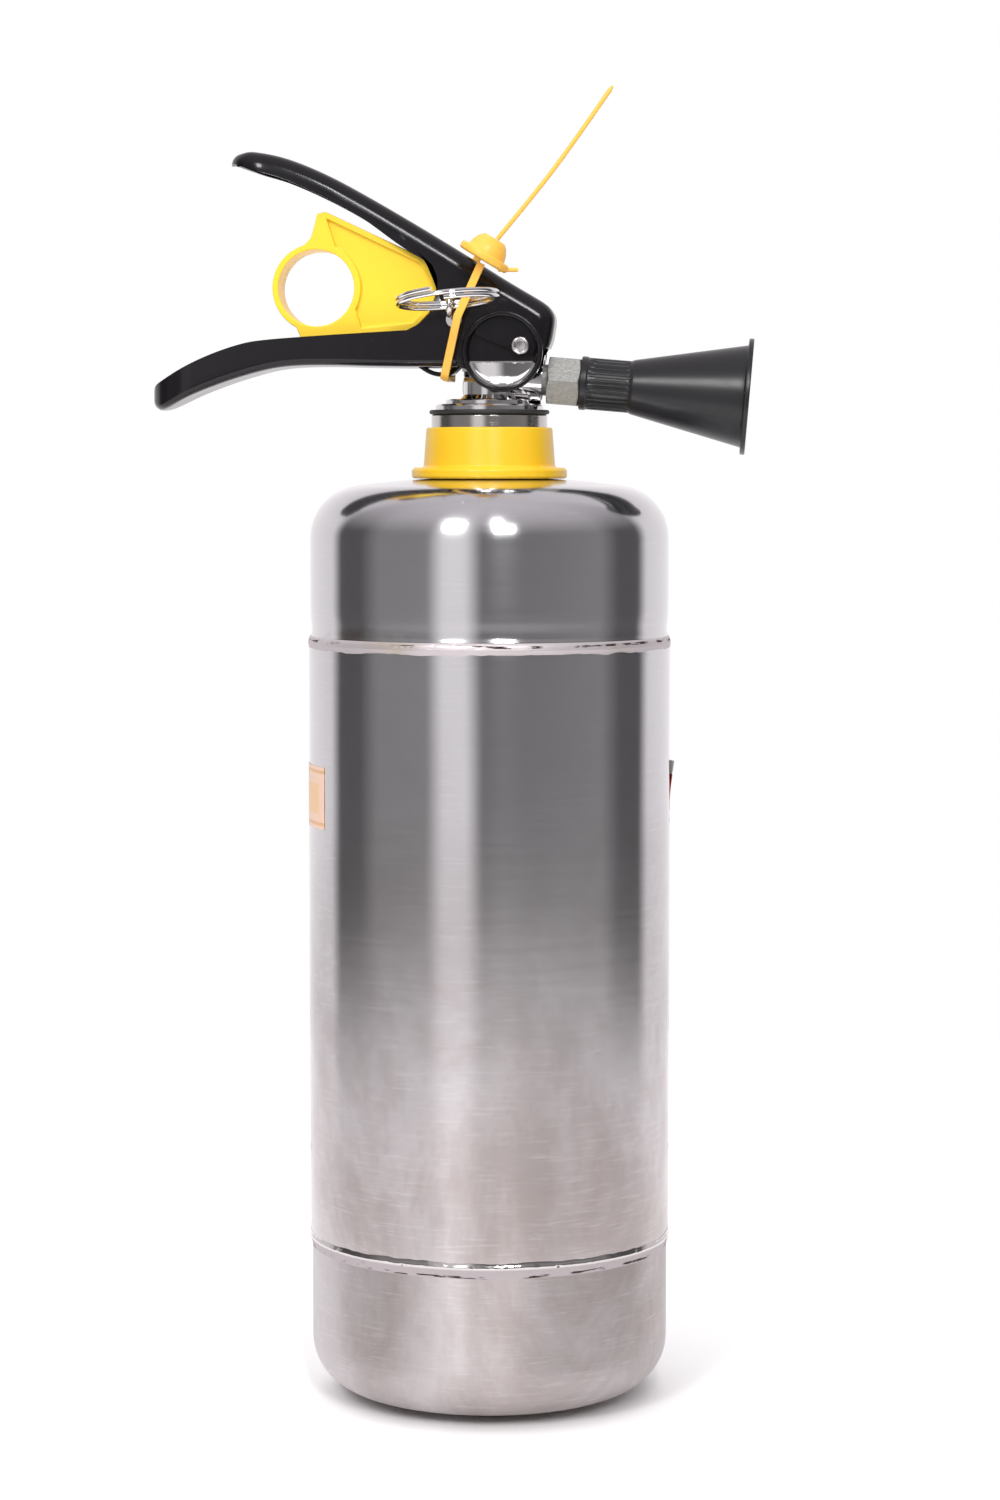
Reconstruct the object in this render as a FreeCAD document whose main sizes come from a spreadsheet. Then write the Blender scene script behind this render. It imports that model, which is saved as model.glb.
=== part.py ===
import FreeCAD, Part
import math
import os
import Sketcher

# A small stored-pressure water extinguisher: a stainless vessel of three welded pressings, a
# chromed squeeze valve with a pressure gauge, a black lever over a black carry handle, a short
# horn nozzle, and the things that lock it: a pin with a ring, a yellow block and a plastic seal.
#
# Millimetres. The origin is the centre of the flat under the bottom shell, on the vessel's axis.
# +Z is up, +X is the way the nozzle points, the handles reach to -X, the ring hangs on the -Y
# side and the gauge faces +Y.

Vector = FreeCAD.Vector
Rotation = FreeCAD.Rotation
Placement = FreeCAD.Placement

DIMENSIONS = (
    # vessel
    ("barrel_rad", 55.0, "outside radius of the barrel"),
    ("sheet_gauge", 0.8, "thickness of the vessel's sheet"),
    ("shell_rad", 54.5, "outside radius of the end shells"),
    ("joggle_rad", 54.15, "outside radius of a shell's rim inside the barrel"),
    ("lap_length", 5.0, "length of the rim inside the barrel"),
    ("crown_rad", 300.0, "radius of a shell's shallow crown"),
    ("knuckle_rad", 16.0, "radius of a shell's knuckle"),
    ("rest_flat_rad", 12.0, "radius of the flat that the vessel rests on"),
    ("barrel_low", 50.2, "lower edge of the barrel"),
    ("barrel_high", 231.7, "upper edge of the barrel"),
    ("vessel_top", 281.9, "height of the upper crown on the axis"),
    ("bead_reach", 2.2, "width of a weld bead on the shell"),
    ("bead_rise", 0.55, "how far a weld bead stands out of the barrel"),
    # neck
    ("neck_rad", 17.6, "outside radius of the neck ring"),
    ("thread_rad", 15.0, "radius of the neck's thread"),
    ("neck_low", 277.5, "inner end of the neck ring"),
    ("neck_high", 300.8, "outer end of the neck ring"),
    ("collar_low", 281.4, "underside of the plastic collar"),
    ("collar_flange", 3.3, "thickness of the collar's flange"),
    ("collar_flange_rad", 23.6, "radius of the collar's flange"),
    ("collar_high", 296.8, "top of the collar"),
    ("gasket_high", 302.1, "top of the neck gasket"),
    # labels
    ("label_low", 71.3, "lower edge of the main label"),
    ("label_high", 195.2, "upper edge of both labels"),
    ("sticker_low", 176.5, "lower edge of the small sticker"),
    ("paper", 0.2, "thickness of a label"),
    # valve
    ("valve_rad", 7.8, "radius of the valve's round body"),
    ("cheek_half", 8.9, "half width of the block that carries the rivet"),
    ("chamber_low", 283.0, "open lower end of the valve body"),
    ("seat_level", 307.0, "height of the valve seat"),
    ("valve_top", 326.5, "top of the valve body"),
    ("stem_rad", 2.5, "radius of the valve stem"),
    ("stem_top", 341.8, "top of the valve stem at rest"),
    ("running_gap", 0.06, "radial clearance of a running fit"),
    ("ear_x", 4.7, "centre of the handle's ears, along X"),
    ("ear_z", 319.4, "centre of the handle's ears, height"),
    ("ear_rad", 12.1, "outside radius of an ear"),
    ("ear_hole", 10.6, "radius of the round hole in an ear"),
    ("moon_top", 316.0, "top of the half-moon side bosses"),
    # handle, lever and pivot
    ("steel", 1.5, "thickness of the handle's and the lever's sheet"),
    ("handle_half", 12.5, "half width of the carry handle"),
    ("lever_half", 10.7, "half width of the squeeze lever"),
    ("pivot_x", 10.0, "lever pivot, along X"),
    ("pivot_z", 321.2, "lever pivot, height"),
    ("rivet_rad", 2.3, "radius of the pivot rivet"),
    ("rivet_head", 2.75, "radius of the rivet's rolled heads"),
    # pin, ring and block
    ("pin_x", -9.7, "safety pin, along X"),
    ("pin_z", 328.9, "safety pin, height"),
    ("pin_rad", 1.5, "radius of the safety pin"),
    ("ring_rad", 14.8, "radius of the pull ring at the middle of its wire"),
    ("ring_wire", 0.7, "radius of the pull ring's wire"),
    ("block_half", 8.0, "half width of the safety block"),
    ("block_rim", 1.7, "width of the rim round the block's recess"),
    ("finger_out", 13.3, "outside radius of the block's finger ring"),
    ("finger_in", 11.5, "inside radius of the block's finger ring"),
    # gauge, along its own axis from the valve's boss
    ("gauge_x", 2.5, "gauge axis, along X"),
    ("gauge_z", 309.4, "gauge axis, height"),
    ("gauge_boss_end", 12.4, "outer face of the gauge boss"),
    ("gauge_rad", 12.0, "outside radius of the gauge case"),
    # nozzle, along its own axis from the valve's port
    ("port_x", 16.3, "middle of the port's face, along X"),
    ("port_z", 311.2, "middle of the port's face, height"),
    ("nozzle_tilt", 4.8, "how far the nozzle points below level, in degrees"),
    ("adapter_thread", 4.7, "radius of the adapter's thread"),
    ("hex_flats", 14.0, "size of the adapter's hexagon across its flats"),
    ("horn_rim", 17.5, "radius of the horn's rim"),
    ("horn_length", 51.3, "length of the horn"),
    # seal
    ("seal_y", -20.0, "plane of the seal's head and front strap"),
    ("strap_half", 1.2, "half width of the seal's strap"),
    ("strap_thick", 1.2, "thickness of the seal's strap"),
    ("tail_rad", 0.7, "radius of the seal's tail"),
)

doc = FreeCAD.newDocument("extinguisher")
sheet = doc.addObject("Spreadsheet::Sheet", "dim")
for row, (alias, size, meaning) in enumerate(DIMENSIONS, start=1):
    sheet.set(f"A{row}", meaning)
    sheet.set(f"B{row}", str(size))
    sheet.setAlias(f"B{row}", alias)
doc.recompute()

subparts = []


def value(term):
    """A coordinate's number: terms that are text are worked out from the sheet."""
    return float(sheet.evalExpression(term)) if isinstance(term, str) else float(term)


def named(thing, label):
    """Marks an object as a finished sub-part, with the name of its file."""
    thing.Label = label
    subparts.append(thing)
    return thing


# ---------------------------------------------------------------- sketches


def plane_of(body, role):
    return [feature for feature in body.Origin.OriginFeatures if feature.Role == role][0]


def end_at(sketch, index, point):
    """Which end of an edge lies at the point: 1 for its start, 2 for its end."""
    return 1 if sketch.getPoint(index, 1).distanceToPoint(point) < 1e-6 else 2


def pin_corner(sketch, index, end, corner):
    """Ties a corner to the axes, through the sheet where its terms are text."""
    for kind, axis, term in (("DistanceX", -2, corner[0]), ("DistanceY", -1, corner[1])):
        size = value(term)
        if abs(size) < 1e-9:
            sketch.addConstraint(Sketcher.Constraint("PointOnObject", index, end, axis))
            continue
        number = sketch.addConstraint(Sketcher.Constraint(kind, -1, 1, index, end, size))
        if isinstance(term, str):
            sketch.setExpression(f"Constraints[{number}]", term)


def draw_outline(sketch, corners):
    """A closed outline of corners (x, y). A corner with a third entry is reached by an arc
    through that middle point."""
    points = [Vector(value(corner[0]), value(corner[1]), 0) for corner in corners]
    ends = []
    for index, start in enumerate(points):
        following = (index + 1) % len(points)
        finish = points[following]
        if len(corners[following]) == 3:
            middle = Vector(*[value(term) for term in corners[following][2]], 0)
            edge = sketch.addGeometry(Part.Arc(start, middle, finish))
        else:
            edge = sketch.addGeometry(Part.LineSegment(start, finish))
        ends.append((edge, end_at(sketch, edge, start), end_at(sketch, edge, finish)))
    for index, (edge, first, _) in enumerate(ends):
        before, _, last = ends[index - 1]
        sketch.addConstraint(Sketcher.Constraint("Coincident", before, last, edge, first))
        pin_corner(sketch, edge, first, corners[index])


def body_sketch(body, role, corners):
    sketch = body.newObject("Sketcher::SketchObject", body.Name + "_outline")
    sketch.AttachmentSupport = (plane_of(body, role), [""])
    sketch.MapMode = "FlatFace"
    draw_outline(sketch, corners)
    return sketch


def revolved(label, corners, axis="V_Axis", place=None):
    """A body turned about a sketch axis; the sketch lies in the XZ plane."""
    body = doc.addObject("PartDesign::Body", "turned_" + label)
    sketch = body_sketch(body, "XZ_Plane", corners)
    turn = body.newObject("PartDesign::Revolution", "turn_" + label)
    turn.Profile = sketch
    turn.ReferenceAxis = (sketch, [axis])
    turn.Angle = 360
    body.Tip = turn
    if place is not None:
        body.Placement = place
    return body


def padded(label, role, corners, length, place=None):
    """A body padded both ways from its sketch plane, length thick in all."""
    body = doc.addObject("PartDesign::Body", "padded_" + label)
    sketch = body_sketch(body, role, corners)
    pad = body.newObject("PartDesign::Pad", "pad_" + label)
    pad.Profile = sketch
    pad.SideType = "Symmetric"
    if isinstance(length, str):
        pad.setExpression("Length", length)
    else:
        pad.Length = length
    body.Tip = pad
    if place is not None:
        body.Placement = place
    return body


# ---------------------------------------------------------------- primitives and booleans


def sized(thing, **sizes):
    for name, term in sizes.items():
        if isinstance(term, str):
            thing.setExpression(name, term)
        else:
            setattr(thing, name, term)
    return thing


ALONG_X = Rotation(Vector(0, 1, 0), 90)
ALONG_Y = Rotation(Vector(1, 0, 0), -90)
UPRIGHT = Rotation()


def cylinder(name, radius, length, start, turn=UPRIGHT):
    """A round bar of that length from its start, along the turned Z axis."""
    bar = sized(doc.addObject("Part::Cylinder", name), Radius=radius, Height=length)
    bar.Placement = Placement(Vector(*[value(term) for term in start]), turn)
    return bar


def box(name, low, high):
    low = Vector(*[value(term) for term in low])
    span = Vector(*[value(term) for term in high]) - low
    block = sized(doc.addObject("Part::Box", name), Length=span.x, Width=span.y, Height=span.z)
    block.Placement = Placement(low, UPRIGHT)
    return block


def fused(name, *pieces):
    union = doc.addObject("Part::MultiFuse", name)
    union.Shapes = list(pieces)
    return union


def common(name, *pieces):
    overlap = doc.addObject("Part::MultiCommon", name)
    overlap.Shapes = list(pieces)
    return overlap


def cut(name, base, *tools):
    result = doc.addObject("Part::Cut", name)
    result.Base = base
    result.Tool = tools[0] if len(tools) == 1 else fused(name + "_tools", *tools)
    return result


def shaped(name, shape):
    feature = doc.addObject("Part::Feature", name)
    feature.Shape = shape
    return feature


# ---------------------------------------------------------------- vessel


def crown_numbers(rim_radius, crown_radius, knuckle_radius):
    """Where the crown meets the knuckle: its radius, and its height and the apex's height above
    the knuckle's centre."""
    inset = rim_radius - knuckle_radius
    reach = crown_radius - knuckle_radius
    depth = math.sqrt(reach ** 2 - inset ** 2)
    meet_radius = inset * crown_radius / reach
    return meet_radius, crown_radius * depth / reach - depth, crown_radius - depth


def crown_height(radius):
    """Height of the upper crown's outside at a distance from the axis."""
    crown = value("dim.crown_rad")
    return value("dim.vessel_top") - crown + math.sqrt(crown ** 2 - radius ** 2)


def end_shell(label, edge, up, hole_radius):
    """A joggled rim, a straight skirt, a knuckle and a shallow crown. The crown stops at a hole
    or, where the hole has no radius, at a small flat."""
    gauge = value("dim.sheet_gauge")
    rim = value("dim.shell_rad")
    crown = value("dim.crown_rad")
    knuckle = value("dim.knuckle_rad")
    joggle = value("dim.joggle_rad")
    meet_radius, meet_rise, apex_rise = crown_numbers(rim, crown, knuckle)
    inner_meet, inner_rise, _ = crown_numbers(rim - gauge, crown - gauge, knuckle - gauge)
    stop = hole_radius if hole_radius > 0 else value("dim.rest_flat_rad")
    if hole_radius > 0:
        centre = value("dim.vessel_top") - apex_rise
    else:
        centre = apex_rise - crown + math.sqrt(crown ** 2 - stop ** 2)
    sphere = centre + up * (apex_rise - crown)

    def on_crown(radius, ball):
        return sphere + up * math.sqrt(ball ** 2 - radius ** 2)

    def on_knuckle(ring, meet):
        half = math.atan2(math.sqrt(ring ** 2 - (meet - rim + knuckle) ** 2), meet - rim + knuckle) / 2
        return rim - knuckle + ring * math.cos(half), centre + up * ring * math.sin(half)

    def between(meet):
        return (stop + meet) / 2

    outer_stop = on_crown(stop, crown)
    inner_stop = on_crown(stop, crown - gauge)
    corners = [
        ("dim.joggle_rad", edge - up * value("dim.lap_length")),
        ("dim.joggle_rad", edge + up * 0.2),
        ("dim.shell_rad", edge + up * value("dim.bead_reach")),
        ("dim.shell_rad", centre),
        (meet_radius, centre + up * meet_rise, on_knuckle(knuckle, meet_radius)),
        (stop, outer_stop, (between(meet_radius), on_crown(between(meet_radius), crown))),
    ]
    if hole_radius > 0:
        corners.append((stop, inner_stop))
    else:
        corners += [(0, outer_stop), (0, inner_stop), (stop, inner_stop)]
    corners += [
        (inner_meet, centre + up * inner_rise,
         (between(inner_meet), on_crown(between(inner_meet), crown - gauge))),
        ("dim.shell_rad - dim.sheet_gauge", centre, on_knuckle(knuckle - gauge, inner_meet)),
        ("dim.shell_rad - dim.sheet_gauge", edge + up * value("dim.bead_reach")),
        (joggle - gauge, edge + up * 0.2),
        (joggle - gauge, edge - up * value("dim.lap_length")),
    ]
    named(revolved(label, corners), label)


def weld_bead(label, edge, up):
    """A lap weld in the step between the barrel's edge and the shell."""
    barrel = value("dim.barrel_rad")
    foot = edge - up * 1.6
    corners = [
        ("dim.shell_rad", edge),
        ("dim.shell_rad", edge + up * value("dim.bead_reach")),
        (barrel, foot, (barrel + value("dim.bead_rise"), edge)),
        (barrel, edge),
    ]
    named(revolved(label, corners), label)


def vessel():
    barrel = [
        ("dim.barrel_rad - dim.sheet_gauge", "dim.barrel_low"),
        ("dim.barrel_rad", "dim.barrel_low"),
        ("dim.barrel_rad", "dim.barrel_high"),
        ("dim.barrel_rad - dim.sheet_gauge", "dim.barrel_high"),
    ]
    named(revolved("barrel", barrel), "barrel")
    end_shell("top_shell", value("dim.barrel_high"), 1, value("dim.neck_rad"))
    end_shell("bottom_shell", value("dim.barrel_low"), -1, 0)
    weld_bead("weld_bead_upper", value("dim.barrel_high"), 1)
    weld_bead("weld_bead_lower", value("dim.barrel_low"), -1)


def neck():
    ring = [
        ("dim.thread_rad", "dim.neck_low"),
        ("dim.neck_rad", "dim.neck_low"),
        ("dim.neck_rad", "dim.neck_high - 0.5"),
        ("dim.neck_rad - 0.5", "dim.neck_high"),
        ("dim.thread_rad + 0.7", "dim.neck_high"),
        ("dim.thread_rad", "dim.neck_high - 0.7"),
    ]
    named(revolved("neck_ring", ring), "neck_ring")
    weld_leg = 1.6
    crown = crown_height(value("dim.neck_rad")) + 0.02
    weld = [
        ("dim.neck_rad", crown),
        (value("dim.neck_rad") + weld_leg, crown),
        ("dim.neck_rad", crown + weld_leg),
    ]
    named(revolved("neck_weld", weld), "neck_weld")
    collar = [
        ("dim.neck_rad + 2.6", "dim.collar_low"),
        ("dim.collar_flange_rad - 0.6", "dim.collar_low"),
        ("dim.collar_flange_rad", "dim.collar_low + 0.6"),
        ("dim.collar_flange_rad", "dim.collar_low + dim.collar_flange - 0.8"),
        ("dim.collar_flange_rad - 0.8", "dim.collar_low + dim.collar_flange"),
        ("dim.neck_rad + 2.9", "dim.collar_low + dim.collar_flange"),
        ("dim.neck_rad + 2.35", "dim.collar_low + dim.collar_flange + 0.6"),
        ("dim.neck_rad + 1.55", "dim.collar_high - 0.4"),
        ("dim.neck_rad + 1.15", "dim.collar_high"),
        ("dim.neck_rad + 0.1", "dim.collar_high"),
        ("dim.neck_rad + 0.1", "dim.collar_low + 2.6"),
    ]
    named(revolved("neck_collar", collar), "neck_collar")
    gasket = [
        ("dim.thread_rad + 0.05", "dim.neck_high"),
        ("dim.neck_rad + 0.4", "dim.neck_high"),
        ("dim.neck_rad + 0.4", "dim.gasket_high", ("dim.neck_rad + 0.75", "dim.neck_high + 0.65")),
        ("dim.thread_rad + 0.05", "dim.gasket_high"),
    ]
    named(revolved("neck_gasket", gasket), "neck_gasket")


def curved_sheet(label, low, high, start_angle, span):
    """A label on the barrel, over the part of the circle from its start angle."""
    gap = 0.02
    outer = cylinder(label + "_outer", f"dim.barrel_rad + dim.paper + {gap}", high - low, (0, 0, low))
    inner = cylinder(label + "_inner", f"dim.barrel_rad + {gap}", high - low, (0, 0, low))
    for bar in (outer, inner):
        bar.Angle = span
        bar.Placement = Placement(Vector(0, 0, low), Rotation(Vector(0, 0, 1), start_angle))
    named(cut(label, outer, inner), label)


def labels():
    high = value("dim.label_high")
    curved_sheet("main_label", value("dim.label_low"), high, 5.5, 177.5)
    curved_sheet("approval_sticker", value("dim.sticker_low"), high, 186.0, 24.0)


# ---------------------------------------------------------------- valve

PORT = Placement(
    Vector(value("dim.port_x"), 0, value("dim.port_z")),
    Rotation(Vector(0, 1, 0), value("dim.nozzle_tilt")),
)


def along_nozzle(distance):
    """A point on the nozzle's axis, as far out from the port's face as it says."""
    return PORT.multVec(Vector(distance, 0, 0))


NOZZLE_TURN = Rotation(Vector(0, 1, 0), 90 + value("dim.nozzle_tilt"))


def valve_body():
    profile = [
        (0, "dim.chamber_low"),
        ("dim.thread_rad - 0.6", "dim.chamber_low"),
        ("dim.thread_rad - 0.1", "dim.chamber_low + 0.5"),
        ("dim.thread_rad - 0.1", "dim.gasket_high"),
        ("dim.neck_rad - 1.2", "dim.gasket_high"),
        ("dim.neck_rad - 1.2", "dim.gasket_high + 1.2"),
        ("dim.neck_rad - 1.7", "dim.gasket_high + 1.7"),
        ("dim.neck_rad - 4.3", "dim.gasket_high + 1.7"),
        ("dim.neck_rad - 4.3", "dim.gasket_high + 2.8"),
        ("dim.neck_rad - 4.7", "dim.gasket_high + 3.2"),
        ("dim.valve_rad + 1.4", "dim.gasket_high + 3.2"),
        ("dim.valve_rad", "dim.gasket_high + 4.6"),
        ("dim.valve_rad", "dim.valve_top - 9"),
        (0, "dim.valve_top - 9"),
    ]
    stem_block = revolved("valve_barrel", profile)
    cheek = padded("valve_cheek", "XZ_Plane", [
        (-7.6, "dim.valve_top - 13"),
        (13.0, "dim.valve_top - 13"),
        (14.2, "dim.valve_top - 8"),
        (14.2, "dim.valve_top - 3"),
        (11.6, "dim.valve_top"),
        (-5.6, "dim.valve_top"),
        (-7.6, "dim.valve_top - 2"),
    ], "2 * dim.cheek_half")
    outlet = cylinder("valve_outlet", 7.5, 14.0, along_nozzle(-14.0), NOZZLE_TURN)
    moon_depth = 2 * (value("dim.handle_half") - 0.1)
    moon_start = ("dim.ear_x", -moon_depth / 2, "dim.ear_z")
    moon_round = cylinder("valve_moon_round", "dim.ear_hole - 0.1", moon_depth, moon_start, ALONG_Y)
    moon_cover = box("valve_moon_cover", (-30, -30, "dim.moon_top"), (40, 30, 350))
    moon = cut("valve_moon", moon_round, moon_cover)
    gauge_start = ("dim.gauge_x", 0, "dim.gauge_z")
    gauge_boss = cylinder("valve_gauge_boss", 6.5, "dim.gauge_boss_end", gauge_start, ALONG_Y)
    solid = fused("valve_solid", stem_block, cheek, outlet, moon, gauge_boss)

    low = value("dim.chamber_low")
    seat = value("dim.seat_level")
    roof = seat + 11.0
    bores = [
        cylinder("inlet_chamber", 7.0, seat - low + 1, (0, 0, low - 1)),
        cylinder("seat_bore", 4.0, roof - seat + 1, (0, 0, seat - 1)),
        cylinder("stem_bore", "dim.stem_rad + 0.08", 20.0, (0, 0, roof - 1)),
        cylinder("packing_bore", 4.0, 20.0, (0, 0, roof + 1)),
        cylinder("outlet_bore", 3.5, 18.0, along_nozzle(-17.0), NOZZLE_TURN),
        cylinder("port_thread", "dim.adapter_thread + 0.05", 10.0, along_nozzle(-9.0), NOZZLE_TURN),
        cylinder("o_ring_seat", 6.2, 2.0, along_nozzle(-1.2), NOZZLE_TURN),
        cylinder("gauge_thread", 4.85, 8.0, ("dim.gauge_x", 7.7, "dim.gauge_z"), ALONG_Y),
        cylinder("gauge_cross_drilling", 0.9, 3.0, ("dim.gauge_x", 5.4, "dim.gauge_z"), ALONG_Y),
        cylinder("gauge_drilling", 0.9, 6.0, ("dim.gauge_x", 5.8, seat - 3)),
        cylinder("rivet_bore", "dim.rivet_rad", 40.0, ("dim.pivot_x", -20, "dim.pivot_z"), ALONG_Y),
    ]
    named(cut("valve_body_solid", solid, *bores), "valve_body")


def stem_parts():
    seat = "dim.seat_level"
    tip = "dim.stem_rad"
    diagonal = value(tip) * math.sqrt(0.5)
    stem = [
        (0, f"{seat} - 9.5"),
        (2.6, f"{seat} - 9.5"),
        (3.0, f"{seat} - 9.1"),
        (3.0, f"{seat} - 4.8"),
        (5.4, f"{seat} - 4.8"),
        (5.4, f"{seat} - 2.6"),
        (tip, f"{seat} - 2.6"),
        (tip, f"dim.stem_top - {tip}"),
        (0, "dim.stem_top", (diagonal, value(f"dim.stem_top - {tip}") + diagonal)),
    ]
    named(revolved("valve_stem", stem), "valve_stem")
    disc = [
        (tip, f"{seat} - 2.6"),
        (5.4, f"{seat} - 2.6"),
        (5.8, f"{seat} - 2.2"),
        (5.8, f"{seat} - 0.5"),
        (5.4, f"{seat} - 0.05"),
        (tip, f"{seat} - 0.05"),
    ]
    named(revolved("stem_seal_disc", disc), "stem_seal_disc")
    clear = "dim.stem_rad + dim.running_gap"
    cord = 0.7
    roof = value(seat) + 12.0
    rings = []
    for index in range(2):
        level = roof + cord + 1.5 * index
        rings.append(revolved(f"o_ring_{index}", [
            (clear, level, (f"{clear} + {cord}", level + cord)),
            (f"{clear} + 2 * {cord}", level, (f"{clear} + {cord}", level - cord)),
        ]))
    group = doc.addObject("Part::Compound", "o_rings")
    group.Links = rings
    named(group, "stem_o_rings")
    bush = [
        (clear, roof + 3.0),
        (4.0, roof + 3.0),
        (4.0, "dim.valve_top"),
        (3.4, "dim.valve_top + 0.8"),
        (clear, "dim.valve_top + 0.8"),
    ]
    named(revolved("stem_retainer", bush), "stem_retainer")


def valve_spring():
    wire = 0.45
    low = value("dim.seat_level") - 15.4 + wire
    rise = 10.5 - 2 * wire
    coil_radius = 4.7
    helix = Part.makeHelix(rise / 4.5, rise, coil_radius)
    start = Part.Wire([Part.Circle(Vector(coil_radius, 0, 0), Vector(0, 1, 0), wire).toShape()])
    coil = Part.Wire(helix.Edges).makePipeShell([start], True, True)
    coil.translate(Vector(0, 0, low))
    named(shaped("coil_spring", coil), "valve_spring")


def dip_parts():
    top = "dim.seat_level - 15.5"
    adapter = [
        (4.5, "dim.chamber_low"),
        (6.9, "dim.chamber_low"),
        (6.9, top),
        (3.4, top),
        (3.4, f"{top} - 2.6"),
        (4.5, f"{top} - 2.6"),
    ]
    named(revolved("dip_tube_adapter", adapter), "dip_tube_adapter")
    tube = [(3.5, 9), (4.5, 9), (4.5, f"{top} - 2.6"), (3.5, f"{top} - 2.6")]
    named(revolved("dip_tube", tube), "dip_tube")
    cup = revolved("strainer_cup", [
        (0, 4), (6.2, 4), (6.2, 18), (4.5, 18), (4.5, 9), (5.2, 9), (5.2, 5), (0, 5),
    ])
    slots = []
    for index in range(6):
        slot = box(f"strainer_slot_{index}", (4.0, -0.6, 5.4), (8.0, 0.6, 8.4))
        slot.Placement = Placement(Vector(), Rotation(Vector(0, 0, 1), 60 * index)).multiply(
            slot.Placement)
        slots.append(slot)
    named(cut("strainer", cup, *slots), "dip_strainer")


# ---------------------------------------------------------------- gauge


def gauge():
    place = Placement(
        Vector(value("dim.gauge_x"), value("dim.gauge_boss_end"), value("dim.gauge_z")), ALONG_Y)
    stem = [
        (1.0, -4.5), (4.8, -4.5), (4.8, 0), (4.0, 0), (4.0, 1.2), (5.4, 1.2), (5.4, 4.2), (3.2, 4.2),
        (3.2, 7.6), (1.0, 7.6),
    ]
    named(revolved("gauge_stem", stem, place=place), "gauge_stem")
    rim = "dim.gauge_rad"
    case = [
        (3.2, 6.6), (f"{rim} - 1.2", 6.6), (rim, 7.8), (rim, 14.6), (f"{rim} - 0.8", 14.6),
        (f"{rim} - 0.8", 7.6), (3.2, 7.6),
    ]
    named(revolved("gauge_case", case, place=place), "gauge_case")
    dial = [(0.8, 11.2), (f"{rim} - 0.9", 11.2), (f"{rim} - 0.9", 11.6), (0.8, 11.6)]
    named(revolved("gauge_dial", dial, place=place), "gauge_dial")
    lens = [(0, 13.4), (f"{rim} - 0.9", 13.4), (f"{rim} - 0.9", 14.5), (0, 14.5)]
    named(revolved("gauge_lens", lens, place=place), "gauge_lens")
    bezel = [
        (f"{rim} + 0.02", 12.0), (f"{rim} + 0.6", 12.0), (f"{rim} + 0.6", 14.9),
        (f"{rim} + 0.2", 15.3), (f"{rim} - 1.6", 15.3), (f"{rim} - 1.6", 14.62),
        (f"{rim} + 0.02", 14.62),
    ]
    named(revolved("gauge_bezel", bezel, place=place), "gauge_bezel")
    bourdon_tube(place)
    needle(place)


def bourdon_tube(place):
    """A flattened C of tube on a small block that sits on the gauge's stem."""
    bend = sized(doc.addObject("Part::Torus", "bourdon_bend"), Radius1=8.2, Radius2=1.2, Angle3=270)
    bend.Placement = place.multiply(Placement(Vector(0, 0, 9.3), UPRIGHT))
    block = cylinder("bourdon_block", 2.6, 2.9, (0, 0, 7.7))
    block.Placement = place.multiply(Placement(Vector(0, 0, 7.7), UPRIGHT))
    arm = box("bourdon_arm", (0, -1.1, 8.5), (8.2, 1.1, 10.0))
    arm.Placement = place.multiply(arm.Placement)
    named(fused("bourdon", bend, block, arm), "bourdon_tube")


def needle(place):
    """Hub, pointer, tail and the shaft that turns in the dial's hole. It points up at rest."""
    hub = revolved("needle_hub", [
        (0, 10.8), (0.7, 10.8), (0.7, 12.0), (1.6, 12.0), (1.6, 12.9), (1.2, 13.1), (0, 13.1),
    ])
    pointer = padded("needle_pointer", "XY_Plane", [
        (-0.8, 3.2), (0.8, 3.2), (0.35, -8.6), (0, -9.2), (-0.35, -8.6),
    ], 0.4, Placement(Vector(0, 0, 12.45), UPRIGHT))
    both = fused("needle_both", hub, pointer)
    both.Placement = place
    named(both, "gauge_needle")


# ---------------------------------------------------------------- handle and lever


def spline_through(points):
    curve = Part.BSplineCurve()
    curve.interpolate([Vector(x, 0, z) for x, z in points])
    return curve.toShape()


def loop_in_side_view(*runs):
    """A closed wire in the XZ plane: each run of points is a smooth curve, or a straight edge
    when it has two, and straight edges join one run to the next."""
    edges = []
    for index, run in enumerate(runs):
        edges.append(spline_through(run))
        finish = runs[index][-1]
        start = runs[(index + 1) % len(runs)][0]
        if math.dist(finish, start) > 1e-6:
            edges.append(spline_through([finish, start]))
    return Part.Wire(edges)


def plate(name, wire, low_y, high_y):
    """The flat area inside a wire in the XZ plane, made thick from one Y to another."""
    face = Part.Face(wire)
    solid = face.extrude(Vector(0, high_y - low_y, 0))
    solid.translate(Vector(0, low_y, 0))
    return shaped(name, solid)


def shifted(points, distance):
    """The points moved square to their own run, to its right as it is read."""
    moved = []
    for index, (x, z) in enumerate(points):
        before = points[max(index - 1, 0)]
        after = points[min(index + 1, len(points) - 1)]
        run = math.dist(before, after)
        moved.append((x + (after[1] - before[1]) * distance / run,
                      z - (after[0] - before[0]) * distance / run))
    return moved


def tip_plan(name, tip_x, root_x, half):
    """A tall block with a round end, which trims a handle's tip as seen from above."""
    return padded(name, "XY_Plane", [
        (root_x, -half),
        (root_x, half),
        (tip_x + half, half),
        (tip_x + half, -half, (tip_x, 0)),
    ], 800.0)


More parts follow.
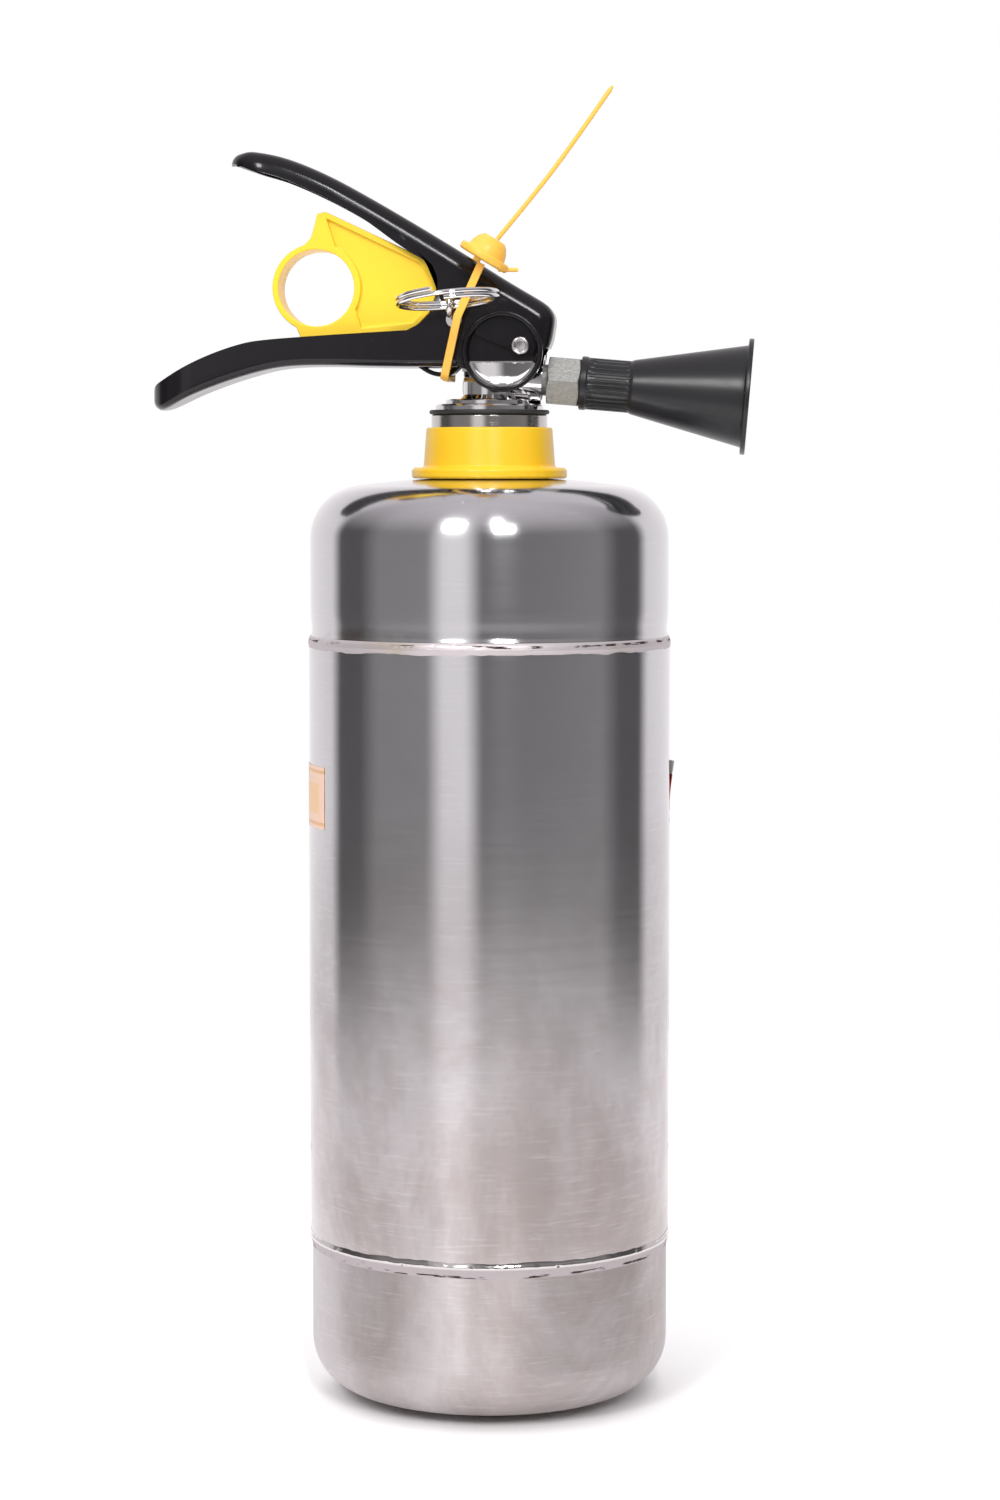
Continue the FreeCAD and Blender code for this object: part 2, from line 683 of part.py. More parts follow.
LEVER_TOP = (
    (-78.0, 378.3), (-75.0, 379.1), (-70.2, 379.5), (-60.4, 377.4), (-48.6, 372.6), (-35.8, 365.8),
    (-21.0, 357.2), (-7.3, 348.9), (5.0, 341.2), (16.0, 334.7),
)
LEVER_REAR = ((16.0, 334.7), (19.0, 332.4), (20.2, 329.3))
LEVER_HEEL = ((20.2, 329.3), (19.0, 322.0), (16.6, 317.0))
LEVER_LOW_REAR = ((16.6, 317.0), (7.5, 320.0), (-2.9, 324.3), (-5.4, 329.6), (-8.0, 332.5))
LEVER_LOW_FRONT = ((-8.0, 332.5), (-12.6, 333.4), (-14.7, 336.6), (-15.0, 341.5), (-16.5, 345.3))
LEVER_LOW = (
    (-16.5, 345.3), (-26.0, 351.0), (-37.6, 359.3), (-49.4, 365.8), (-61.3, 371.1), (-70.2, 373.8),
    (-76.8, 375.9), (-78.0, 378.3),
)


def squeeze_lever():
    half = value("dim.lever_half")
    sheet_steel = value("dim.steel")
    outline = loop_in_side_view(LEVER_TOP, LEVER_REAR, LEVER_HEEL, *[
        LEVER_LOW_REAR[index:index + 2] for index in range(4)], LEVER_LOW_FRONT, LEVER_LOW)
    outer = plate("lever_outer", outline, -half, half)
    roof = shifted(LEVER_TOP, sheet_steel)
    rear = [roof[-1], (17.9, 331.2), (18.65, 329.2)]
    heel = [rear[-1], (17.5, 322.3), (14.8, 316.0)]
    hollow = loop_in_side_view(
        roof, rear, heel, [heel[-1], (14.8, 300.0)], [(14.8, 300.0), (-90.0, 300.0)],
        [(-90.0, 300.0), (-90.0, roof[0][1])])
    inner = plate("lever_inner", hollow, -half + sheet_steel, half - sheet_steel)
    outer_trim = common("lever_trimmed", outer, tip_plan("lever_plan", -78.2, 60, half))
    inner_trim = common("lever_hollow", inner, tip_plan(
        "lever_plan_inner", -78.2 + sheet_steel, 60, half - sheet_steel))
    pivot = cylinder("lever_pivot_hole", "dim.rivet_rad + dim.running_gap", 40.0,
                     ("dim.pivot_x", -20, "dim.pivot_z"), ALONG_Y)
    outlet_notch = box("lever_outlet_notch", (11, -8.3, 300), (30, 8.3, 320.6))
    named(cut("lever_solid", outer_trim, inner_trim, pivot, outlet_notch), "squeeze_lever")


HANDLE_TOP = (
    (-102.3, 306.0), (-101.5, 309.2), (-98.0, 311.4), (-89.8, 315.9), (-81.7, 319.4),
    (-73.4, 322.0), (-66.9, 323.0), (-57.0, 323.8), (-43.2, 324.7), (-24.0, 325.8),
)
HANDLE_LOW = (
    (-9.0, 314.9), (-20.9, 314.9), (-35.2, 315.1), (-46.2, 315.4), (-57.0, 315.3), (-65.1, 314.4),
    (-73.4, 312.3), (-81.7, 309.6), (-89.8, 306.4), (-98.0, 302.3), (-101.2, 302.3),
    (-102.3, 306.0),
)
EAR_ROOT = (
    (-24.0, 325.8), (-19.6, 328.2), (-16.9, 330.8), (-14.3, 333.4), (-10.2, 335.0), (-5.0, 333.2),
    (4.7, 328.0), (4.7, 319.4), (-3.0, 312.5), (-9.0, 314.9), (-26.0, 314.9),
)


def ear(side):
    """A side plate of the handle: it holds the pin and ends in a ring round the valve's boss."""
    half = value("dim.handle_half")
    steel = value("dim.steel")
    bead = 0.5
    low_y = side * half if side < 0 else half - steel
    root_wire = loop_in_side_view(EAR_ROOT[:6], *[
        EAR_ROOT[index:index + 2] for index in range(5, len(EAR_ROOT) - 1)])
    root = plate(f"ear_root_{side}", root_wire, low_y, low_y + steel)
    centre = ("dim.ear_x", low_y, "dim.ear_z")
    disc = cylinder(f"ear_disc_{side}", "dim.ear_rad", "dim.steel", centre, ALONG_Y)
    bead_y = low_y - bead if side < 0 else low_y + steel - 0.2
    bead_start = ("dim.ear_x", bead_y, "dim.ear_z")
    ring = cylinder(f"ear_bead_{side}", "dim.ear_rad", bead + 0.2, bead_start, ALONG_Y)
    return fused(f"ear_{side}", root, disc, ring)


def carry_handle():
    half = value("dim.handle_half")
    steel = value("dim.steel")
    outline = loop_in_side_view(HANDLE_TOP, [HANDLE_TOP[-1], (-9.0, 325.8)], HANDLE_LOW)
    outer = plate("handle_outer", outline, -half, half)
    floor = shifted(HANDLE_LOW[:-1], steel)
    hollow = loop_in_side_view(
        floor, [floor[-1], (-102.0, 340.0)], [(-102.0, 340.0), (20.0, 340.0)],
        [(20.0, 340.0), (20.0, floor[0][1])])
    inner = plate("handle_inner", hollow, -half + steel, half - steel)
    outer_trim = common("handle_trimmed", outer, tip_plan("handle_plan", -102.5, 60, half))
    inner_trim = common("handle_hollow", inner, tip_plan(
        "handle_plan_inner", -102.5 + steel, 60, half - steel))
    channel = cut("handle_channel", outer_trim, inner_trim)
    tongue = box("handle_tongue", (-10.0, -half + steel + 0.3, 314.9), (3.0, half - steel - 0.3, 316.4))
    strip = plate("handle_strip", loop_in_side_view(
        [(-21.4, 314.9), (-18.0, 312.9), (-14.6, 312.1), (-11.2, 312.6), (-8.4, 314.9)],
        [(-8.4, 314.9), (-10.4, 315.4)],
        [(-10.4, 315.4), (-12.0, 314.1), (-14.6, 313.5), (-17.4, 314.1), (-19.4, 315.4)],
        [(-19.4, 315.4), (-21.4, 315.4)]), -4.0, 4.0)
    lanced = box("handle_lanced_slot", (-19.4, -4.0, 314.5), (-10.4, 4.0, 317.0))
    ears = [ear(-1), ear(1)]
    plates = fused("handle_plates", cut("handle_floor", fused("handle_run", channel, tongue), lanced),
                   strip, *ears)
    clear_valve = cylinder("handle_valve_hole", "dim.valve_rad + 0.2", 60.0, (0, 0, 300))
    clear_front = box("handle_front_slot", (-8.0, -9.3, 300), (40, 9.3, 318))
    hole = cylinder("handle_ear_holes", "dim.ear_hole", 60.0, ("dim.ear_x", -30, "dim.ear_z"), ALONG_Y)
    pin_hole = cylinder("handle_pin_holes", "dim.pin_rad + 0.08", 60.0,
                        ("dim.pin_x", -30, "dim.pin_z"), ALONG_Y)
    gauge_gap = box("handle_gauge_gap", (-4.6, 10.0, 300), (9.6, 20.0, 316.8))
    named(cut("handle_solid", plates, clear_valve, clear_front, hole, pin_hole, gauge_gap),
          "carry_handle")


def pivot_rivet():
    """A rivet with rolled heads, hollow at both ends; each half is the other turned over."""
    face = value("dim.lever_half") + 0.15
    halves = []
    for side in (-1, 1):
        place = Placement(
            Vector(value("dim.pivot_x"), 0, value("dim.pivot_z")), Rotation(Vector(1, 0, 0), side * 90))
        halves.append(revolved(f"rivet_{side}", [
            (0, 0),
            ("dim.rivet_rad", 0),
            ("dim.rivet_rad", face),
            ("dim.rivet_head", face),
            ("dim.rivet_head", face + 0.4),
            (1.75, face + 0.4, (2.25, face + 0.85)),
            (1.6, face - 2.2),
            (0, face - 2.2),
        ], place=place))
    named(fused("rivet", *halves), "pivot_rivet")


# ---------------------------------------------------------------- nozzle


def hexagon(flats):
    """A hexagon's corners with two flats level: the first corner lies along Y."""
    radius = flats / math.sqrt(3)
    return [(radius * math.cos(math.radians(60 * step)), radius * math.sin(math.radians(60 * step)))
            for step in range(6)]


def nozzle():
    hex_low = 1.5
    hex_high = 11.3
    barrel = revolved("adapter_barrel", [
        (-8.0, 2.6), (-8.0, "dim.adapter_thread - 0.4"), (-7.6, "dim.adapter_thread"),
        (hex_low + 1, "dim.adapter_thread"), (hex_high - 1, 5.0), (26.6, 5.0), (27.0, 4.6),
        (27.0, 2.6),
    ], axis="H_Axis")
    prism = padded("adapter_prism", "YZ_Plane", hexagon(value("dim.hex_flats")), hex_high - hex_low,
                   Placement(Vector((hex_low + hex_high) / 2, 0, 0), UPRIGHT))
    dressing = revolved("adapter_dressing", [
        (hex_low, 0), (hex_low, 6.9), (hex_low + 0.7, 8.2), (hex_high - 0.7, 8.2), (hex_high, 6.9),
        (hex_high, 0),
    ], axis="H_Axis")
    bore = cylinder("adapter_bore", 2.6, 60.0, (-30, 0, 0), ALONG_X)
    hexagonal = common("adapter_hexagon", prism, dressing)
    adapter = cut("adapter_solid", fused("adapter_both", barrel, hexagonal), bore)
    adapter.Placement = PORT
    named(adapter, "nozzle_adapter")
    ring = [
        (-1.1, 4.85), (-1.1, 5.9), (-0.1, 5.9, (-0.6, 6.15)), (-0.1, 4.85),
    ]
    named(revolved("adapter_ring", ring, axis="H_Axis", place=PORT), "adapter_o_ring")
    tip = [
        (27.0, 1.2), (27.0, 5.0), (30.2, 5.0), (31.4, 3.4), (31.4, 1.9), (29.4, 1.2),
    ]
    named(revolved("spray_tip", tip, axis="H_Axis", place=PORT), "nozzle_orifice")
    start = hex_high
    mouth = f"{start} + dim.horn_length"
    horn = [
        (start, 5.0), (start, 7.7), (start + 0.3, 8.1), (start + 1.8, 8.1), (start + 2.1, 7.8),
        (start + 15.0, 7.8), (start + 15.8, 8.2),
        (f"{mouth} - 1.4", "dim.horn_rim - 2.1"), (f"{mouth} - 1.4", "dim.horn_rim"),
        (mouth, "dim.horn_rim"), (mouth, "dim.horn_rim - 3.4"), (start + 21.0, 6.2),
        (start + 19.4, 5.0),
    ]
    named(revolved("horn", horn, axis="H_Axis", place=PORT), "nozzle_horn")


# ---------------------------------------------------------------- pin, ring, block


def safety_pin():
    """A shank, a stop against the handle, and an eye bent from it for the ring."""
    tip = 15.4
    root = -16.0
    side_step = 0.9
    shank = cylinder("pin_shank", "dim.pin_rad", tip - root, ("dim.pin_x", root, "dim.pin_z"), ALONG_Y)
    eye = sized(doc.addObject("Part::Torus", "pin_eye"), Radius1=3.0, Radius2=1.0)
    eye.Placement = Placement(
        Vector(value("dim.pin_x") - side_step, -16.9, value("dim.pin_z") + 4.2), ALONG_X)
    stop = cylinder("pin_stop", 2.4, 0.8, ("dim.pin_x", -13.6, "dim.pin_z"), ALONG_Y)
    named(fused("pin_solid", shank, eye, stop), "safety_pin")


RING_CENTRE = Vector(-10.2, -31.6, 334.3)
RING_TURN = Rotation(Vector(1, 0, 0), -4.5).multiply(Rotation(Vector(0, 1, 0), -6.0))


def pull_ring():
    """Two turns of wire, one on the other, as a split ring has."""
    coil_radius = value("dim.ring_rad")
    wire = value("dim.ring_wire")
    pitch = 2 * wire + 0.06
    helix = Part.makeHelix(pitch, 2 * pitch * 0.98, coil_radius)
    section = Part.Wire([Part.Circle(Vector(coil_radius, 0, 0), Vector(0, 1, 0), wire).toShape()])
    coil = Part.Wire(helix.Edges).makePipeShell([section], True, True)
    coil.translate(Vector(0, 0, -pitch))
    coil.rotate(Vector(), Vector(0, 0, 1), -90)
    ring = shaped("split_ring", coil)
    ring.Placement = Placement(RING_CENTRE, RING_TURN).multiply(ring.Placement)
    named(ring, "pull_ring")


BLOCK_EDGE = (
    (-51.4, 360.9), (-48.8, 361.4), (-34.0, 354.4), (-19.4, 347.6), (-16.6, 345.2), (-15.4, 341.6),
    (-15.4, 337.0), (-17.5, 331.2), (-21.5, 327.0), (-22.5, 322.4), (-55.6, 321.6),
    (-57.8, 326.6), (-60.0, 331.0), (-56.0, 351.0), (-53.4, 353.6), (-52.2, 357.6),
)


def safety_block():
    half = value("dim.block_half")
    centre = (-51.8, -half, 338.7)
    edges = [BLOCK_EDGE[index:index + 2] for index in range(len(BLOCK_EDGE) - 1)]
    web = plate("block_web", loop_in_side_view(*edges), -half, half)
    ring = cylinder("block_ring", "dim.finger_out", 2 * half, centre, ALONG_Y)
    hole = cylinder("block_finger_hole", "dim.finger_in", 40.0, (-51.8, -20, 338.7), ALONG_Y)
    solid = cut("block_solid", fused("block_both", web, ring), hole)
    recess_edge = (
        (-48.6, 359.4), (-34.0, 352.5), (-20.2, 346.0), (-17.2, 341.2), (-17.2, 337.4),
        (-19.0, 332.2), (-22.6, 328.2), (-38.2, 326.6),
    )
    runs = [recess_edge[index:index + 2] for index in range(len(recess_edge) - 1)]
    keep_ring = cylinder("block_ring_guard", "dim.finger_out + 0.2", 40.0, (-51.8, -20, 338.7), ALONG_Y)
    recesses = []
    for side in (-1, 1):
        low = -half - 1 if side < 0 else half - 1.6
        field = plate(f"block_field_{side}", loop_in_side_view(*runs), low, low + 2.6)
        recesses.append(field)
    panel = cut("block_fields", fused("block_field_pair", *recesses), keep_ring)
    named(cut("block_panelled", solid, panel), "safety_block")


# ---------------------------------------------------------------- seal

SEAL_CENTRE = Vector(-0.1, 0, 347.1)
SEAL_TILT = 31.0


def seal_head():
    """A hat: a thick brim with a spike, a dome on it and a stub that grips the strap's far end."""
    place = Placement(
        Vector(SEAL_CENTRE.x, value("dim.seal_y"), SEAL_CENTRE.z), Rotation(Vector(0, 1, 0), SEAL_TILT))
    hat = revolved("seal_hat", [
        (0, -1.2), (7.6, -1.2), (8.0, -0.8), (8.0, 0.7), (7.5, 1.2), (6.0, 1.2),
        (4.6, 5.0, (5.5, 3.3)), (3.2, 6.2, (4.1, 5.9)), (0, 6.2),
    ], place=place)
    stub = box("seal_stub", (-3.4, "dim.seal_y", 347.6), (-1.0, -10.95, 348.8))
    spike = cylinder("seal_spike", 0.6, 5.9, (4.0, "dim.seal_y", 343.2), ALONG_X)
    named(fused("seal_cap", hat, stub, spike), "seal_head")


def strap_run(name, route, half, thick):
    """A flat strap along straight runs and tangent arcs; its width lies along X."""
    edges = []
    last = route[0][0]
    for index in range(1, len(route)):
        corner, radius = route[index]
        if index == len(route) - 1:
            edges.append(Part.makeLine(last, corner))
            continue
        inward = (last - corner).normalize()
        outward = (route[index + 1][0] - corner).normalize()
        half_turn = (math.pi - inward.getAngle(outward)) / 2
        trim = radius * math.tan(half_turn)
        start = corner + inward * trim
        finish = corner + outward * trim
        bisector = (inward + outward).normalize()
        middle = corner + bisector * (radius / math.cos(half_turn) - radius)
        edges.append(Part.makeLine(last, start))
        edges.append(Part.Arc(start, middle, finish).toShape())
        last = finish
    spine = Part.Wire(edges)
    direction = (route[1][0] - route[0][0]).normalize()
    side = Vector(1, 0, 0)
    side = (side - direction * side.dot(direction)).normalize()
    up = direction.cross(side)
    corners = [
        route[0][0] + side * (half * a) + up * (thick / 2 * b)
        for a, b in ((-1, -1), (1, -1), (1, 1), (-1, 1))]
    section = Part.makePolygon(corners + [corners[0]])
    return shaped(name, spine.makePipeShell([section], True, False))


def seal_straps():
    seal_y = value("dim.seal_y")
    half = value("dim.strap_half")
    thick = value("dim.strap_thick")
    front = [
        (Vector(-1.0, seal_y, 345.2), 0),
        (Vector(-8.1, seal_y, 329.6), 6.0),
        (Vector(-12.6, -14.4, 311.4), 2.6),
        (Vector(-12.6, -6.0, 311.4), 0),
    ]
    named(strap_run("strap_front", front, half, thick), "seal_strap_front")
    back = [
        (Vector(-12.6, -5.7, 311.4), 0),
        (Vector(-12.6, 14.4, 311.4), 2.6),
        (Vector(-13.4, 14.4, 330.0), 12.0),
        (Vector(-2.2, 14.4, 354.0), 4.0),
        (Vector(-2.2, -5.0, 353.4), 3.0),
        (Vector(-2.2, -8.2, 348.2), 1.2),
        (Vector(-2.2, -10.65, 348.2), 0),
    ]
    named(strap_run("strap_back", back, half, thick), "seal_strap_back")


def seal_tail():
    seal_y = value("dim.seal_y")
    start = Vector(3.71, seal_y, 352.21)
    middle = Vector(20.6, seal_y, 372.9)
    finish = Vector(37.9, seal_y, 397.0)
    spine = Part.Wire([Part.Arc(start, middle, finish).toShape()])
    direction = spine.Edges[0].tangentAt(spine.Edges[0].FirstParameter)
    section = Part.Wire([Part.Circle(start, direction, value("dim.tail_rad")).toShape()])
    named(shaped("tail", spine.makePipeShell([section], True, False)), "seal_tail")


# ---------------------------------------------------------------- build

vessel()
neck()
labels()
valve_body()
stem_parts()
valve_spring()
dip_parts()
gauge()
squeeze_lever()
carry_handle()
pivot_rivet()
nozzle()
safety_pin()
pull_ring()
safety_block()
seal_head()
seal_straps()
seal_tail()
doc.recompute()

for thing in doc.Objects:
    if "Invalid" in thing.State or "Error" in thing.State:
        raise RuntimeError(f"{thing.Label} failed: {thing.State}")
for part in subparts:
    if part.Shape.isNull() or not part.Shape.isValid() or not part.Shape.Solids:
        raise RuntimeError(f"{part.Label} has no valid solid")

os.makedirs("parts", exist_ok=True)
for part in subparts:
    part.Shape.exportStep(f"parts/{part.Label}.step")
    print(f"{part.Label}: {len(part.Shape.Solids)} solids, {part.Shape.Volume:.1f} mm3")
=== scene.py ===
import math

import bmesh
import bpy
from mathutils import Matrix, Vector, noise


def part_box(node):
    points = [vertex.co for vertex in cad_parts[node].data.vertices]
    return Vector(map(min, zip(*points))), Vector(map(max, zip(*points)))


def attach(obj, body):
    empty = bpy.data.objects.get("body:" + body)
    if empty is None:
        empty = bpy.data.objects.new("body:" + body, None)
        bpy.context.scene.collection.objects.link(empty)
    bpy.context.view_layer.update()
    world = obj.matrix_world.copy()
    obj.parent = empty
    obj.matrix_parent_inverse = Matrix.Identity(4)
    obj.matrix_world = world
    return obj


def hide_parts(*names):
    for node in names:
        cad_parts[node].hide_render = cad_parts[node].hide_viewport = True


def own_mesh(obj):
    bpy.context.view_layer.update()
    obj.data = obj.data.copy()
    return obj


# The looks of a small stainless water extinguisher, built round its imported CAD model. Sizes in
# this script are millimetres until a mesh is made; MM turns them into Blender's metres.

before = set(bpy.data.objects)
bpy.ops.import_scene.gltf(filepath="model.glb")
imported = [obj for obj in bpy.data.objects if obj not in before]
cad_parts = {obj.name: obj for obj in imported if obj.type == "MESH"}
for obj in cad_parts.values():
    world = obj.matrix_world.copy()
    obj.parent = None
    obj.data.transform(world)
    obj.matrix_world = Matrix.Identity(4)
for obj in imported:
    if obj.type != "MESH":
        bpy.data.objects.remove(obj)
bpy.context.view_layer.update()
MM = 0.001
scene = bpy.context.scene
scene.view_settings.view_transform = "Standard"

# ---------------------------------------------------------------- camera, floor and light

CAMERA_DISTANCE = 1.092
CAMERA_HEIGHT = 0.2842
CAMERA_AZIMUTH = math.radians(4.0)
CAMERA_PITCH = math.radians(4.48)
CAMERA_TURN = math.radians(0.168)


def add_camera():
    data = bpy.data.cameras.new("camera")
    data.lens = 86.0
    data.sensor_width = 36.0
    camera = bpy.data.objects.new("camera", data)
    camera.location = (
        CAMERA_DISTANCE * math.sin(CAMERA_AZIMUTH),
        -CAMERA_DISTANCE * math.cos(CAMERA_AZIMUTH),
        CAMERA_HEIGHT,
    )
    camera.rotation_euler = (math.pi / 2 - CAMERA_PITCH, 0, CAMERA_AZIMUTH - CAMERA_TURN)
    scene.collection.objects.link(camera)
    scene.camera = camera


class Graph:
    """A short way to write a node tree."""

    def __init__(self, tree):
        self.tree = tree

    def node(self, kind, values=None, **settings):
        made = self.tree.nodes.new(kind)
        for name, setting in settings.items():
            setattr(made, name, setting)
        for name, value in (values or {}).items():
            socket = made.inputs[name]
            if isinstance(value, bpy.types.NodeSocket):
                self.tree.links.new(value, socket)
            else:
                socket.default_value = value
        return made

    def ramp(self, factor, stops):
        made = self.node("ShaderNodeValToRGB", {"Fac": factor})
        elements = made.color_ramp.elements
        while len(elements) < len(stops):
            elements.new(0.5)
        for element, (place, colour) in zip(elements, stops):
            element.position = place
            grey = (colour,) * 3 if isinstance(colour, (int, float)) else colour
            element.color = (*grey, 1)
        return made.outputs["Color"]

    def math(self, operation, first, second=0.0, third=0.0):
        return self.node("ShaderNodeMath", {0: first, 1: second, 2: third}, operation=operation).outputs[0]

    def times(self, first, second):
        return self.math("MULTIPLY", first, second)

    def inside(self, value, low, high):
        """One where the value lies between two numbers."""
        return self.times(self.math("GREATER_THAN", value, low), self.math("LESS_THAN", value, high))

    def split(self, vector):
        """The X, Y and Z of a vector."""
        parts = self.node("ShaderNodeSeparateXYZ", {"Vector": vector})
        return [parts.outputs[axis] for axis in "XYZ"]

    def spread(self, value, start, finish, low=0.0, high=1.0):
        """The value between low and high spread over start to finish."""
        return self.node("ShaderNodeMapRange", {
            "Value": value, "From Min": low, "From Max": high, "To Min": start, "To Max": finish}).outputs[0]

    def bump(self, shader, height, strength, distance):
        dent = self.node("ShaderNodeBump", {"Height": height, "Strength": strength, "Distance": distance})
        self.link(dent.outputs[0], shader, "Normal")

    def mix(self, factor, first, second, blend="MIX"):
        made = self.node("ShaderNodeMix", data_type="RGBA", blend_type=blend)
        for socket, value in ((made.inputs[0], factor), (made.inputs[6], first), (made.inputs[7], second)):
            if isinstance(value, bpy.types.NodeSocket):
                self.tree.links.new(value, socket)
            else:
                socket.default_value = value if isinstance(value, (int, float)) else (*value[:3], 1)
        return made.outputs[2]

    def noise(self, vector, scale, detail=3.0, roughness=0.55, distortion=0.0):
        return self.node("ShaderNodeTexNoise", {
            "Vector": vector, "Scale": scale, "Detail": detail, "Roughness": roughness,
            "Distortion": distortion}).outputs["Fac"]

    def stretched(self, vector, stretch):
        return self.node("ShaderNodeMapping", {"Vector": vector, "Scale": stretch}).outputs["Vector"]

    def link(self, output, node, name):
        self.tree.links.new(output, node.inputs[name])


# The studio as the bright metal mirrors it: a white sweep behind, a dark flat at each side, a grey
# room in front and one tall soft window left of the camera. Degrees from the camera, and brightness.
STUDIO = (
    (-180, 1.0), (-120, 0.8), (-110, 0.1), (-90, 0.1), (-75, 0.25), (-40, 0.25), (-30, 0.8),
    (-15, 0.8), (-5, 0.15), (75, 0.25), (90, 0.1), (110, 0.1), (120, 0.8), (180, 1.0),
)


def add_world():
    world = bpy.data.worlds.new("studio")
    world.use_nodes = True
    graph = Graph(world.node_tree)
    world.node_tree.nodes.clear()
    direction = graph.node("ShaderNodeTexCoord").outputs["Generated"]
    turned = graph.node("ShaderNodeMapping", {"Vector": direction, "Rotation": (0, 0, -CAMERA_AZIMUTH)})
    x, y, z = graph.split(turned.outputs["Vector"])
    azimuth = graph.math("ARCTAN2", x, graph.times(y, -1.0))
    place = graph.math("MULTIPLY_ADD", azimuth, 1 / (2 * math.pi), 0.5)
    walls = graph.ramp(place, [((angle + 180) / 360, level) for angle, level in STUDIO])
    height = graph.math("MULTIPLY_ADD", z, 0.5, 0.5)
    above = graph.ramp(height, [(0.0, 0.0), (0.62, 0.0), (0.82, 0.6), (1.0, 1.0)])
    ceiling = graph.mix(above, walls, (0.62, 0.61, 0.63))
    tint = graph.mix(1.0, ceiling, (1.0, 0.965, 0.985), "MULTIPLY")
    light_path = graph.node("ShaderNodeLightPath")
    seen = graph.mix(light_path.outputs["Is Camera Ray"], tint, (1.0, 1.0, 1.0))
    background = graph.node("ShaderNodeBackground", {"Color": seen, "Strength": 1.0})
    output = graph.node("ShaderNodeOutputWorld")
    graph.link(background.outputs[0], output, "Surface")
    scene.world = world


def add_light(name, place, aim, size, power, mirrored=False):
    data = bpy.data.lights.new(name, "AREA")
    data.shape = "RECTANGLE"
    data.size, data.size_y = size
    data.energy = power
    light = bpy.data.objects.new(name, data)
    light.location = place
    light.rotation_euler = (Vector(aim) - Vector(place)).to_track_quat("-Z", "Y").to_euler()
    light.visible_glossy = mirrored
    scene.collection.objects.link(light)


def add_sun(name, tilt, spread, strength):
    data = bpy.data.lights.new(name, "SUN")
    data.angle = math.radians(spread)
    data.energy = strength
    sun = bpy.data.objects.new(name, data)
    sun.rotation_euler = tilt
    sun.visible_glossy = False
    scene.collection.objects.link(sun)


def add_floor(material):
    """A plain round table top, metres across, that stays behind as stage."""
    rings, sides = (0.2, 0.45, 0.72), 96
    points = [(0, 0, 0)] + [(x, y, 0) for radius in rings for x, y in round_section(radius, sides)]
    faces = [(0, 1 + side, 1 + (side + 1) % sides) for side in range(sides)]
    faces += [tuple(1 + index for index in face) for face in tube_faces(len(rings), sides)]
    mesh = bpy.data.meshes.new("floor")
    mesh.from_pydata(points, [], faces)
    floor = bpy.data.objects.new("floor", mesh)
    scene.collection.objects.link(floor)
    mesh.materials.append(material)


# ---------------------------------------------------------------- materials

STEEL = (0.74, 0.735, 0.75)
GAUGE_X, GAUGE_Z = 2.5, 309.4
BARREL_LOW, BARREL_HIGH = 50.2, 231.7
UPPER_CRACK, LOWER_CRACK, HALF_CRACK = 0.2329, 0.0475, 0.00036
LOWER_WELD_TOP, LOWER_WELD_EDGE = 0.06, 0.0491
skins = {}


def begin(name):
    """A new entry in skins: its material, node graph, shader and texture coordinates."""
    made = bpy.data.materials.new(name)
    skins[name] = made
    made.use_nodes = True
    made.node_tree.nodes.clear()
    graph = Graph(made.node_tree)
    shader = graph.node("ShaderNodeBsdfPrincipled")
    output = graph.node("ShaderNodeOutputMaterial")
    graph.link(shader.outputs[0], output, "Surface")
    return graph, shader, graph.node("ShaderNodeTexCoord").outputs["Object"]


def settings(shader, **values):
    for name, value in values.items():
        shader.inputs[name.replace("_", " ")].default_value = value


def material(name, colour, metallic, roughness, vary, scale, rough_vary, bump, bump_scale,
             stretch=(1, 1, 1), coat=0.0, depth=0.0002, **more):
    """One surface: its colour and roughness wander with a noise, and a finer noise dents it."""
    graph, shader, place = begin(name)
    place = graph.stretched(place, stretch)
    mottle = graph.noise(place, scale, 4.0)
    dark = [channel * (1 - vary) for channel in colour]
    light = [min(channel * (1 + vary), 1.0) for channel in colour]
    graph.link(graph.mix(mottle, dark, light), shader, "Base Color")
    rough = graph.spread(graph.noise(place, scale * 3.1, 3.0), max(roughness - rough_vary, 0.02),
                         min(roughness + rough_vary, 1.0))
    graph.link(rough, shader, "Roughness")
    graph.bump(shader, graph.noise(place, bump_scale, 3.0), bump, depth)
    settings(shader, Metallic=metallic, Coat_Weight=coat, **more)


